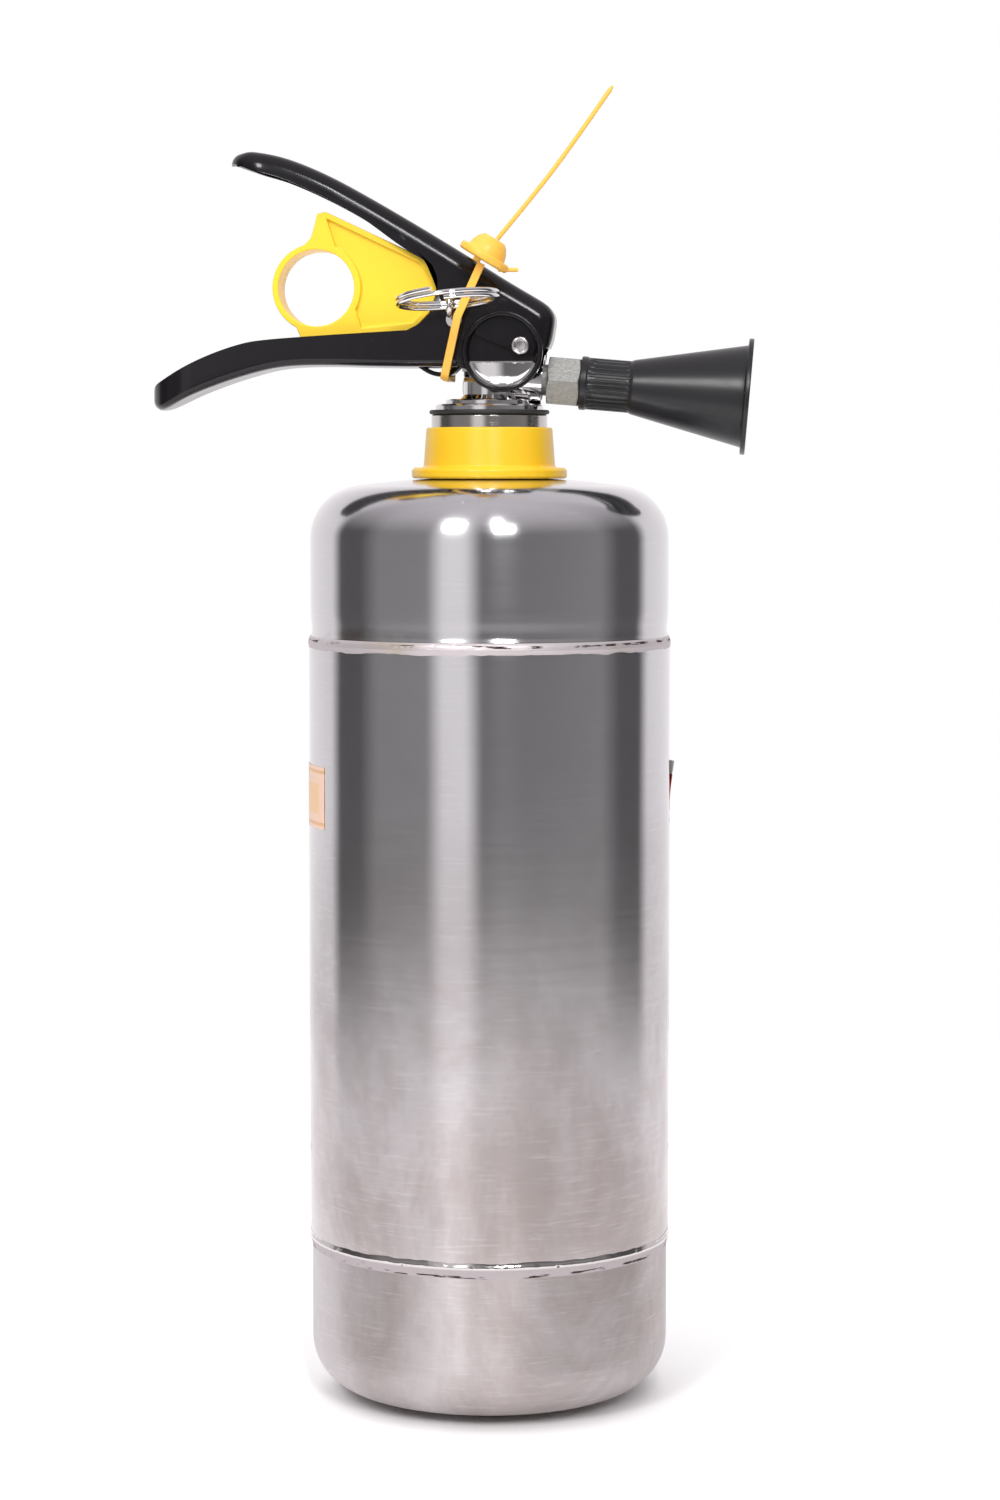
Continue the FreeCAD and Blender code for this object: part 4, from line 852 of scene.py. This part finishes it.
def shell(edge, up, stop, apex):
    """A pressed end, skin outside and in. The crown stops at a neck or at a small flat."""
    rows, rise = crown(SHELL_RADIUS, CROWN_RADIUS, KNUCKLE_RADIUS)
    inner, _ = crown(SHELL_RADIUS - SHEET, CROWN_RADIUS - SHEET, KNUCKLE_RADIUS - SHEET)
    centre = apex - up * rise
    back = [(r, centre + up * h) for r, h in inner if r > stop]
    profile = [(JOGGLE, edge - up * LAP), (JOGGLE, edge + up * 0.2), (54.3, edge + up * 1.0)]
    middle = 3.9
    for step in range(28):
        above = 2.0 + 0.4 * step
        spread = 1.6 if above < middle else 3.8
        dip = 0.46 * math.exp(-((above - middle) / spread) ** 2) if up > 0 else 0.0
        profile.append((SHELL_RADIUS - dip, edge + up * above))
    profile += [(r, centre + up * h) for r, h in rows if r > stop]
    if up > 0:
        depth = math.sqrt((CROWN_RADIUS - KNUCKLE_RADIUS) ** 2 - (SHELL_RADIUS - KNUCKLE_RADIUS) ** 2)
        top = centre + math.sqrt(CROWN_RADIUS ** 2 - stop ** 2) - depth
        profile += [(stop, top), (stop, top - SHEET)]
    else:
        profile += [(stop, 0.0), (stop * 0.5, 0.0), (0.4, 0.0), (0.4, SHEET), (stop, SHEET)]
    profile += reversed(back)
    profile += [(53.6, edge + up * 2.2), (JOGGLE - SHEET, edge + up * 0.2), (JOGGLE - SHEET, edge - up * LAP)]

    def uneven(radius, angle, height):
        push = wander(angle, 2.1, height * 0.06 + 3.0)
        return radius + push * 0.05 * (radius > 20), height

    return lathe(profile, 256, shape=uneven)


def barrel():
    """The rolled tube, with rounded rims and a little unevenness."""
    rows = [(54.2, BARREL_LOW), (54.85, BARREL_LOW), (54.97, BARREL_LOW + 0.1)]
    rows += [(BARREL_RADIUS, 50.5 + 181.0 * step / 60) for step in range(61)]
    rows += [(54.97, BARREL_HIGH - 0.05), (54.85, BARREL_HIGH), (54.2, BARREL_HIGH)]

    def uneven(radius, angle, height):
        push = wander(angle, 1.6, height * 0.016) + 0.4 * wander(angle, 4.0, height * 0.05 + 9.0)
        return radius + push * 0.06 - 0.03, height

    return lathe(rows, 256, shape=uneven)


def weld_bead(edge, up, seed, reach, top, proud):
    """A lap weld run smooth: a low rounded ridge that wanders a little, with small notches. It
    reaches that far onto the shell, and its crest is at that share of its width."""
    around, across = 720, 16
    points = []
    for step in range(around):
        angle = 2 * math.pi * step / around
        toe = 1.35 + wander(angle, 5, seed) * 0.55 + wander(angle, 17, seed) * 0.25
        crest = proud + 0.06 * wander(angle, 11, seed + 5)
        for row in range(across + 1):
            share = row / across
            height = -toe + (toe + reach) * share
            base = BARREL_RADIUS if height <= 0 else BARREL_RADIUS - 0.5 * min(height / 2.1, 1.0) ** 0.8
            if share < top:
                swell = math.sin(math.pi / 2 * share / top) ** 1.7
            else:
                swell = math.cos(math.pi / 2 * (share - top) / (1 - top))
            notch = max(wander(angle, 46, height * 1.8 + seed) - 0.42, 0)
            radius = base + 0.015 + swell * max(crest - notch * 1.1, 0.02)
            points.append(polar(radius, angle, edge + up * height))
        points.append(polar(54.3, angle, edge + up * 1.9))
        points.append(polar(54.6, angle, edge - up * 0.5))
    return mesh_of(points, tube_faces(around, across + 3, wrap=True))


def film(low, high, start, finish, lift=None):
    """A thin label on the barrel between two heights and two angles in degrees."""
    columns = max(int((finish - start) * 1.4), 12)
    rows = max(int((high - low) / 1.6), 8)
    points = []
    for column in range(columns + 1):
        angle = start + (finish - start) * column / columns
        line = []
        for row in range(rows + 1):
            height = low + (high - low) * row / rows
            raised = lift(angle, height) if lift else 0.0
            ripple = 0.03 * max(noise.noise(Vector((angle * 0.11, height * 0.10, start))), 0)
            line.append((raised + ripple, height))
        for radius, run in ((FILM_OUT, line), (FILM_IN, reversed(line))):
            points += [polar(radius + rise, math.radians(angle), height) for rise, height in run]
    size = 2 * (rows + 1)
    faces = tube_faces(columns + 1, size)
    for foot in (0, columns * size):
        faces += [(foot + row, foot + row + 1, foot + size - 2 - row, foot + size - 1 - row)
                  for row in range(rows)]
    return mesh_of(points, faces)


def lifted_corner(angle, height):
    """The main label's upper corner has come away from the steel."""
    near = max(1 - (angle - 5.5) / 9.0, 0) * max((height - 182.0) / 13.2, 0)
    return 1.5 * near ** 1.5


make("barrel_skin", barrel(), ROOT, "polished_steel", "barrel", skin="barrel_steel")
make("top_shell_skin", shell(BARREL_HIGH, 1, 17.6, 281.9), ROOT, "polished_steel", "top_shell")
make("bottom_shell_skin", shell(BARREL_LOW, -1, 12.0, -0.24), ROOT, "polished_steel", "bottom_shell",
     skin="foot_steel")
make("weld_bead_upper_skin", weld_bead(BARREL_HIGH, 1, 3.0, 2.1, 0.72, 0.34), ROOT, "weld",
     "weld_bead_upper", 60)
make("weld_bead_lower_skin", weld_bead(BARREL_LOW, -1, 41.0, 3.3, 0.38, 0.46), ROOT, "weld",
     "weld_bead_lower", 60)
make("main_label_film", film(71.3, 195.2, 5.5, 183.0, lifted_corner), ROOT, "label_print", "main_label")
make("approval_sticker_film", film(176.5, 195.2, 186.0, 210.0), ROOT, "sticker_print", "approval_sticker")


# ---------------------------------------------------------------- neck

neck_profile = [(15.0, 277.5), (17.6, 277.5)]
neck_profile += [(17.6 + 0.05 * math.sin(step * 2.1), 277.6 + 22.6 * step / 90) for step in range(91)]
neck_profile += filleted([(17.6, 300.3), (17.1, 300.8, 0.25), (15.7, 300.8)], 3, closed=False)
neck_profile += [(15.0 + 0.55 * (step % 2), 300.0 - 0.55 * step) for step in range(40)]
make("neck_ring_turned", lathe(neck_profile, 144), ROOT, "neck_steel", "neck_ring")

collar_edge = filleted([
    (20.2, 281.4), (23.0, 281.4, 0.3), (23.6, 282.0, 0.5), (23.6, 283.9, 0.6), (22.8, 284.7, 0.6),
    (20.5, 284.7, 0.5), (19.95, 285.3, 0.4), (19.15, 296.4, 0.4), (18.75, 296.8, 0.3), (17.75, 296.8, 0.1),
    (17.7, 284.0),
], 5)


def moulded(radius, angle, height):
    wave = wander(angle, 1.5, 1.0)
    flange = radius > 22
    return radius + (0.12 if flange else 0.03) * wave, height + 0.10 * wave * flange


make("neck_collar_moulded", lathe(collar_edge, 160, shape=moulded), ROOT, "collar_yellow", "neck_collar")
gasket_edge = filleted([
    (15.1, 300.82), (17.9, 300.82, 0.3), (18.35, 301.45, 0.5), (17.9, 302.08, 0.3), (15.1, 302.08),
], 5)
make("neck_gasket_ring", lathe(gasket_edge, 144), ROOT, "black_rubber", "neck_gasket")


# ---------------------------------------------------------------- valve, rivet and gauge

EAR = (4.7, 319.4)
EAR_RING = 11.35
MOON_TOP = 316.0


def moon_cap():
    """The convex bright face of the valve's side boss, which fills the lower part of the ear's hole."""
    reach, rise = 10.0, 1.5
    profile = [(0.02, 12.0), (reach, 12.0), (reach, 12.30)]
    profile += [(reach * (1 - step / 16), 12.42 + rise * (1 - (1 - step / 16) ** 2)) for step in range(1, 16)]
    profile += [(0.02, 12.42 + rise)]
    turn = Matrix.Translation((EAR[0], 0, EAR[1])) @ Matrix.Rotation(math.pi / 2, 4, "X")
    cap = lathe(profile, 96, turn)
    return softened(cut(cap, block_mesh((-30, -30, MOON_TOP), (40, 30, 350))), 0.4, 40.0, 4)


make("valve_body_chromed", joined([from_cad("valve_body", 0.35), moon_cap()]), ROOT, "valve_chrome",
     "valve_body", 42, True)

FACE = 10.85
PIVOT_X, PIVOT_Z = 10.0, 321.2
rivet_half = [
    (0.02, 0.0), (2.3, 0.0), (2.3, FACE), (2.7, FACE), (2.75, FACE + 0.08), (2.75, FACE + 0.28),
    (2.66, FACE + 0.52), (2.48, FACE + 0.72), (2.2, FACE + 0.83), (1.95, FACE + 0.80), (1.78, FACE + 0.66),
    (1.70, FACE + 0.40), (1.62, FACE - 1.9), (1.50, FACE - 2.1), (0.02, FACE - 2.2),
]


def rolled(radius, angle, height):
    if height > FACE + 0.2:
        radius += 0.06 * wander(angle, 3, height)
    return radius, height


PIVOT = Matrix.Translation((PIVOT_X, 0.0, PIVOT_Z))
rivet = joined([
    lathe(rivet_half, 56, PIVOT @ Matrix.Rotation(math.pi / 2 * side, 4, "X"), rolled) for side in (-1, 1)])
make("pivot_rivet_rolled", rivet, ROOT, "rivet_steel", "pivot_rivet")

GAUGE_Y = 12.4
GAUGE = Matrix.Translation((GAUGE_X, GAUGE_Y, GAUGE_Z)) @ ALONG_Y
case_edge = filleted([
    (3.2, 6.6), (10.8, 6.6, 0.9), (12.0, 7.8, 0.9), (12.0, 14.6), (11.2, 14.6), (11.2, 7.6, 0.6), (3.2, 7.6),
], 5)
make("gauge_case_drawn", lathe(case_edge, 112, GAUGE), ROOT, "gauge_steel", "gauge_case")
bezel_edge = filleted([
    (12.02, 12.0), (12.5, 12.0, 0.2), (12.6, 12.3, 0.2), (12.6, 14.7, 0.5), (12.1, 15.3, 0.5),
    (10.7, 15.3, 0.3), (10.4, 14.9, 0.2), (10.4, 14.62), (12.02, 14.62),
], 5)


def knurled(radius, angle, height):
    if radius > 12.3 and 12.25 < height < 14.4:
        radius -= 0.10 * (0.5 + 0.5 * math.cos(angle * 72))
    return radius, height


bezel_edge = [point for first, second in zip(bezel_edge, bezel_edge[1:] + bezel_edge[:1])
              for point in (first, ((first[0] + second[0]) / 2, (first[1] + second[1]) / 2))]
make("gauge_bezel_rolled", lathe(bezel_edge, 360, GAUGE, knurled), ROOT, "bright_chrome", "gauge_bezel")
lens_edge = [(0.02, 13.4), (11.05, 13.4), (11.08, 13.5), (11.08, 14.2), (10.9, 14.35)]
lens_edge += [(10.5 * (1 - step / 12), 14.4 + 0.1 * math.sin(math.pi / 2 * step / 12)) for step in range(12)]
lens_edge += [(0.02, 14.5)]
make("gauge_lens_clear", lathe(lens_edge, 112, GAUGE), ROOT, "gauge_clear", "gauge_lens")
dial_edge = filleted([(0.8, 11.2), (11.1, 11.2), (11.1, 11.6, 0.1), (0.8, 11.6)], 2)
make("gauge_dial_plate", lathe(dial_edge, 112, GAUGE), ROOT, "gauge_face", "gauge_dial")
hub = lathe(filleted([
    (0.02, 10.8), (0.7, 10.8), (0.7, 12.0), (1.6, 12.0, 0.1), (1.6, 12.9, 0.2), (1.2, 13.1, 0.1),
    (0.02, 13.1),
], 3), 48, GAUGE)
pointer_edge = [(-0.8, -3.2), (0.8, -3.2), (0.45, 0), (0.35, 8.6), (0, 9.2), (-0.35, 8.6), (-0.45, 0)]
pointer = plate(pointer_edge, -0.2, 0.2, 0.08)
pointer.transform(Matrix.Translation((GAUGE_X * MM, (GAUGE_Y + 12.45) * MM, GAUGE_Z * MM)))
make("gauge_pointer", joined([hub, pointer]), "needle", "needle_paint", "gauge_needle")


# ---------------------------------------------------------------- handle and lever

LEVER_TOP = [
    (-78.2, 378.2), (-75.0, 379.1), (-70.2, 379.5), (-60.4, 377.4), (-48.6, 372.6), (-35.8, 365.8),
    (-21.0, 357.2), (-7.3, 348.9), (5.0, 341.2), (16.0, 334.7),
]
LEVER_REAR = [
    (16.0, 334.7), (18.2, 333.1), (19.6, 331.2), (20.2, 329.3), (19.9, 326.0), (19.0, 322.0), (16.6, 317.0),
]
LEVER_LOW = [
    (-78.2, 375.7), (-76.8, 375.9), (-70.2, 373.8), (-61.3, 371.1), (-49.4, 365.8), (-37.6, 359.3),
    (-26.0, 351.0), (-16.5, 345.3),
]
LEVER_LOBE = [(-16.5, 345.3), (-15.0, 341.5), (-14.7, 336.6), (-12.6, 333.4), (-8.0, 332.5)]
LEVER_HEEL_EDGE = [(-8.0, 332.5), (-5.4, 329.6), (-2.9, 324.3)]


def flat_line(points, steps=8):
    """A smooth side-view line through points (x, z)."""
    return [(point.x, point.y) for point in smooth_line([(x, z, 0) for x, z in points], steps)]


def round_end(tip, half, shoulder_at, edge_at):
    """A channel's shoulder and edge round its end, and the X where its sides are at full width."""
    places = [tip + half * (1 - math.cos(math.pi / 2 * index / ROUNDS)) for index in range(ROUNDS + 1)]
    shoulder = [Vector((x, shoulder_at(x))) for x in places]
    return shoulder, [Vector((x, edge_at(x))) for x in places], tip + half


def stretch(line, first, last):
    """The part of a side-view line between two X."""
    read = level_at(line)
    return [(first, read(first))] + [p for p in line if first < p[0] < last] + [(last, read(last))]


def extend(shoulder, edge, runs):
    """Adds runs of (shoulder line, edge line, steps) to both, evenly spaced."""
    for first, second, steps in runs:
        shoulder += along(first, steps)[1:]
        edge += along(second, steps)[1:]


def squeeze_lever():
    """The lever: a channel open downwards, with its bore and a notch over the outlet."""
    half, tip = 10.7, LEVER_TOP[0][0]
    top, low = flat_line(LEVER_TOP), flat_line(LEVER_LOW)
    roof = level_at(top)
    shoulder, edge, start = round_end(tip, half, roof, level_at(low))
    extend(shoulder, edge, [
        (stretch(top, start, -24.0), stretch(low, start, -16.5), 34),
        (stretch(top, -24.0, -10.0), flat_line(LEVER_LOBE, 6), 18),
        (stretch(top, -10.0, 3.0), LEVER_HEEL_EDGE, 12),
        (stretch(top, 3.0, 16.0) + flat_line(LEVER_REAR, 6)[1:], [(-2.9, 324.3), (7.0, 320.17)], 30),
    ])
    mesh = pressed(shoulder, edge, roof, half, 1, len(shoulder), bend=5.0)
    mesh = cut(mesh, bar_mesh(2.34, PIVOT_X, PIVOT_Z))
    return softened(cut(mesh, block_mesh((11, -8.3, 300), (30, 8.3, 320.6))), 0.3)


HANDLE_FLOOR = [
    (-102.4, 302.6), (-101.2, 302.3), (-98.0, 302.4), (-89.8, 306.4), (-81.7, 309.6), (-73.4, 312.3),
    (-65.1, 314.4), (-57.0, 315.3), (-46.2, 315.4), (-35.2, 315.1), (-20.9, 314.9), (-9.0, 314.9),
]
HANDLE_EDGE = [
    (-102.4, 306.3), (-101.5, 309.2), (-98.0, 311.4), (-89.8, 315.9), (-81.7, 319.4), (-73.4, 322.0),
    (-66.9, 323.0), (-57.0, 323.8), (-43.2, 324.7), (-24.0, 325.8),
]
EAR_TOP = [
    (-24.0, 325.8), (-19.6, 328.2), (-16.9, 330.8), (-14.3, 333.4), (-10.2, 335.0), (-5.0, 333.2),
    (-0.6, 330.9),
]


def ear_ring(side):
    """The rolled rim round an ear's hole; on the gauge's side it leaves a gap for the gauge."""
    section = filleted([(-0.75, -1.0, 0.35), (0.75, -1.0, 0.35), (0.75, 1.0, 0.5), (-0.75, 1.0, 0.5)], 4)
    if side < 0:
        profile = [(EAR_RING + across, -12.0 - up) for across, up in section]
        turn = Matrix.Translation((EAR[0], 0, EAR[1])) @ ALONG_Y
        return lathe(profile, 112, turn)
    line = [Vector((x, 12.0, z)) for x, z in arc(EAR, EAR_RING, -64.4, 215, 90)]
    return sweep(line, [(up, across) for across, up in section], (0, 1, 0))


def handle_channel():
    """The handle's run and its two side plates, whose front ends follow the ear's hole."""
    half, tip, ear_start = 12.5, HANDLE_FLOOR[0][0], -24.0
    floor_line, edge_line = flat_line(HANDLE_FLOOR), flat_line(HANDLE_EDGE)
    floor = level_at(floor_line)
    shoulder, edge, start = round_end(tip, half, floor, level_at(edge_line))
    ear_top = flat_line(EAR_TOP, 6)
    web_end = 22
    extend(shoulder, edge, [
        (stretch(floor_line, start, ear_start), stretch(edge_line, start, ear_start), 44),
        ([(ear_start, floor(ear_start)), (-9.0, 314.9)], ear_top[:web_end], 18),
    ])
    webs = len(shoulder)
    turn_low, turn_high = (math.degrees(math.atan2(z - EAR[1], x - EAR[0])) % 360
                           for x, z in ((-5.4, 313.9), ear_top[-1]))
    ring_side = [(-9.0, 314.9), (-5.6, 314.0)] + arc(EAR, 11.4, turn_low, turn_high, 20)
    extend(shoulder, edge, [(ring_side, ear_top[web_end - 1:], 20)])
    mesh = pressed(shoulder, edge, floor, half, -1, webs)
    mesh = cut(mesh, bar_mesh(1.62, -9.7, 328.9))
    return softened(cut(mesh, block_mesh((-19.4, -4.0, 310), (-10.4, 4.0, 320))), 0.3)


def lanced_strip():
    """The strip that is pushed down out of the handle's floor."""
    low = [(-21.4, 314.95), (-18.0, 312.9), (-14.6, 312.1), (-11.2, 312.6), (-8.4, 314.95)]
    top = [(-9.6, 315.6), (-12.0, 314.1), (-14.6, 313.5), (-17.4, 314.1), (-20.2, 315.6)]
    return plate(flat_line(low, 6) + flat_line(top, 6), -4.0, 4.0, 0.3)


def ear_shade_sheet(side):
    """A thin black sheet in an ear's hole, above the bright cap, with room for the rivet: it stands in for
    the shade in the gap behind the lever there.
    """
    inside = [(x, z) for x, z in arc(EAR, 10.9, 0, 360, 96)[:-1] if z > MOON_TOP]
    first = max(range(len(inside)), key=lambda index: math.dist(inside[index], inside[index - 1]))
    inside = inside[first:] + inside[:first]
    rivet_hole = arc((PIVOT_X, PIVOT_Z), 2.4, 0, 360 - 7.5, 47)
    return plate(inside, side * 9.03 - 0.08, side * 9.03 + 0.08, 0.03, [rivet_hole])


def carry_handle():
    # The ears include thin black sheets that stand in for the shade above the bright caps.
    ears = [part(side) for part in (ear_shade_sheet, ear_ring) for side in (-1, 1)]
    return joined([handle_channel(), lanced_strip(), *ears])


make("squeeze_lever_pressed", squeeze_lever(), "lever", "handle_black", "squeeze_lever", 42, True)
make("carry_handle_pressed", carry_handle(), ROOT, "handle_black", "carry_handle", 42, True)


# ---------------------------------------------------------------- nozzle

PORT = Matrix.Translation((16.3, 0, 311.2)) @ Matrix.Rotation(math.radians(90 + 4.8), 4, "Y")
make("nozzle_adapter_cast", from_cad("nozzle_adapter", 0.3), ROOT, "cast_grey", "nozzle_adapter", 42, True)


def finely(profile, longest):
    """The profile with its long runs divided."""
    fine = []
    for first, second in zip(profile, profile[1:] + profile[:1]):
        parts = max(int(math.dist(first, second) / longest), 1)
        fine += [(first[0] + (second[0] - first[0]) * part / parts,
                  first[1] + (second[1] - first[1]) * part / parts) for part in range(parts)]
    return fine


HORN = 11.3
horn_edge = finely(filleted([
    (5.02, HORN), (7.7, HORN, 0.3), (8.1, HORN + 0.3, 0.3), (8.1, HORN + 1.8, 0.4), (7.8, HORN + 2.3, 0.4),
    (7.8, HORN + 15.0, 1.2), (8.25, HORN + 16.0, 2.0), (15.4, HORN + 49.7, 0.4), (17.4, HORN + 49.8, 0.3),
    (17.5, HORN + 50.2, 0.3), (17.5, HORN + 51.3, 0.35), (14.1, HORN + 51.3, 0.5), (6.2, HORN + 21.0, 2.0),
    (5.02, HORN + 19.4),
], 4), 1.2)


def ribbed(radius, angle, height):
    low, high = HORN + 2.6, HORN + 15.2
    if radius > 7.0 and low < height < high:
        fade = min((height - low) / 0.8, (high - height) / 0.8, 1.0)
        groove = max(math.cos(angle * 30), -0.2) + 0.2
        radius -= 0.24 * fade * (1 - min(groove * 1.4, 1.0))
    return radius, height


make("nozzle_horn_moulded", lathe(horn_edge, 360, PORT, ribbed), ROOT, "horn_black", "nozzle_horn", 40)

# ---------------------------------------------------------------- pin, ring and block

make("safety_pin_bent", from_cad("safety_pin", 0.2), "pin", "pin_steel", "safety_pin")

RING_PLACE = (
    Matrix.Translation((-10.2, -31.6, 334.3))
    @ Matrix.Rotation(math.radians(-4.5), 4, "X")
    @ Matrix.Rotation(math.radians(-6.0), 4, "Y")
)


def split_ring():
    """Nearly two turns of wire, one on the other."""
    wire, turns = 0.7, 2 * 0.98
    pitch = 2 * wire + 0.06
    line = helix(14.8, turns, -pitch, pitch * (turns - 1), 260, -math.pi / 2)
    return sweep([RING_PLACE @ point for point in line], round_section(wire, 20),
                 RING_PLACE.to_3x3() @ Vector((0, 0, 1)))


make("pull_ring_wire", split_ring(), "ring", "bright_chrome", "pull_ring")
make("safety_block_moulded", from_cad("safety_block", 0.45, 25.0, 4), "block", "block_yellow",
     "safety_block", 42, True)


# ---------------------------------------------------------------- seal

SEAL_Y = -20.0
SEAL = Matrix.Translation((-0.1, SEAL_Y, 347.1)) @ Matrix.Rotation(math.radians(31.0), 4, "Y")
hat_edge = finely(filleted([
    (0.02, -1.2), (7.3, -1.2, 0.4), (8.0, -0.8, 0.4), (8.0, 0.7, 0.5), (7.5, 1.2, 0.4), (6.1, 1.2, 0.5),
    (5.5, 3.3, 3.0), (4.6, 5.0, 1.5), (3.4, 6.15, 0.9), (1.3, 6.2, 0.3), (1.2, 5.9, 0.2), (0.02, 5.9),
], 4), 0.8)
hat = lathe(hat_edge, 96, SEAL)
spike_line = [Vector((4.0 + 5.9 * step / 8, SEAL_Y, 343.2)) for step in range(9)]
spike = sweep(spike_line, round_section(0.6, 16), (0, 1, 0))
stub_line = [Vector((-2.2, y, 348.2)) for y in (-19.9, -17.0, -14.0, -11.6, -11.1, -10.98)]
stub = sweep(stub_line, box_section(1.2, 0.6, 0.25), (1, 0, 0))
make("seal_head_moulded", joined([hat, spike, stub]), "pin", "seal_orange", "seal_head")
make("seal_strap_front_moulded", from_cad("seal_strap_front", 0.22), "pin", "seal_orange",
     "seal_strap_front", 42, True)
make("seal_strap_back_moulded", from_cad("seal_strap_back", 0.22), ROOT, "seal_orange", "seal_strap_back",
     42, True)


def tapered(share):
    """The tail's size along it: whole, then down to half over its last fortieth."""
    return 1.0 if share <= 0.975 else max(1 - (share - 0.975) / 0.025, 0.25) ** 0.5


def seal_tail():
    """The pulled-through end: a thin round string with a slight bow and a tapered tip."""
    first, middle, last = (Vector((x, SEAL_Y, z)) for x, z in ((3.71, 352.21), (20.6, 372.9), (37.9, 397.0)))
    bow = Vector((0.10, 0, -0.07))
    line = smooth_line([first, first.lerp(middle, 0.5) + bow, middle, middle.lerp(last, 0.5) + bow, last], 44)
    return sweep(line, round_section(0.68, 14), (0, 1, 0), tapered)


make("seal_tail_string", seal_tail(), "pin", "seal_orange", "seal_tail", 50)


# ---------------------------------------------------------------- spring


def spring_coil():
    """The return spring's helix over the height of the CAD spring's box, returned with that box's foot and
    the coil's length.
    """
    low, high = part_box("valve_spring")
    wire, radius, turns = 0.45, 4.7, 4.5
    start, finish = low.z / MM + wire, high.z / MM - wire
    line = helix(radius, turns, start, finish, 216)
    return sweep(line, round_section(wire, 12), (0, 0, 1)), low.z, (finish - start) + 2 * wire


coil, coil_foot, coil_length = spring_coil()
spring = make("valve_spring_coil", coil, ROOT, "spring_steel", "valve_spring")
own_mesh(spring)

# ---------------------------------------------------------------- the CAD nodes that stay

KEPT = {
    "neck_weld": "weld", "stem_o_rings": "black_rubber", "adapter_o_ring": "black_rubber",
    "stem_seal_disc": "black_rubber", "valve_stem": "brass", "stem_retainer": "brass",
    "gauge_stem": "brass", "bourdon_tube": "brass", "nozzle_orifice": "brass",
    "dip_tube_adapter": "dip_plastic", "dip_tube": "dip_plastic",
    "dip_strainer": "dip_plastic",
}
for node, skin in KEPT.items():
    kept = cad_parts[node]
    kept.data.materials.clear()
    kept.data.materials.append(skins[skin])
    kept.data.polygons.foreach_set("use_smooth", [True] * len(kept.data.polygons))
    kept.data.set_sharp_from_angle(angle=math.radians(32))
    kept.data.update()


# ---------------------------------------------------------------- studio


def floor_skin():
    graph, shader, place = begin("floor")
    pale = graph.mix(graph.noise(place, 3.0), (0.93, 0.925, 0.925), (0.96, 0.955, 0.955))
    graph.link(pale, shader, "Base Color")
    graph.link(graph.ramp(graph.noise(place, 20.0), [(0.0, 0.55), (1.0, 0.7)]), shader, "Roughness")


floor_skin()
add_floor(skins["floor"])
add_world()
add_light("window", (-0.64, -1.75, 1.35), (0, 0, 0.27), (0.42, 0.6), 15, True)
add_light("lamp", (0.50, -1.70, 1.08), (0, 0, 0.30), (0.22, 0.30), 5, True)
add_light("flash", (0.25, -1.47, 1.18), (-0.02, 0, 0.35), (0.10, 0.75), 8, True)
add_light("fill", (1.6, -1.0, 1.1), (0, 0, 0.25), (1.0, 1.0), 4)
add_sun("sky", (math.radians(8), math.radians(-10), 0), 70, 1.6)
add_camera()
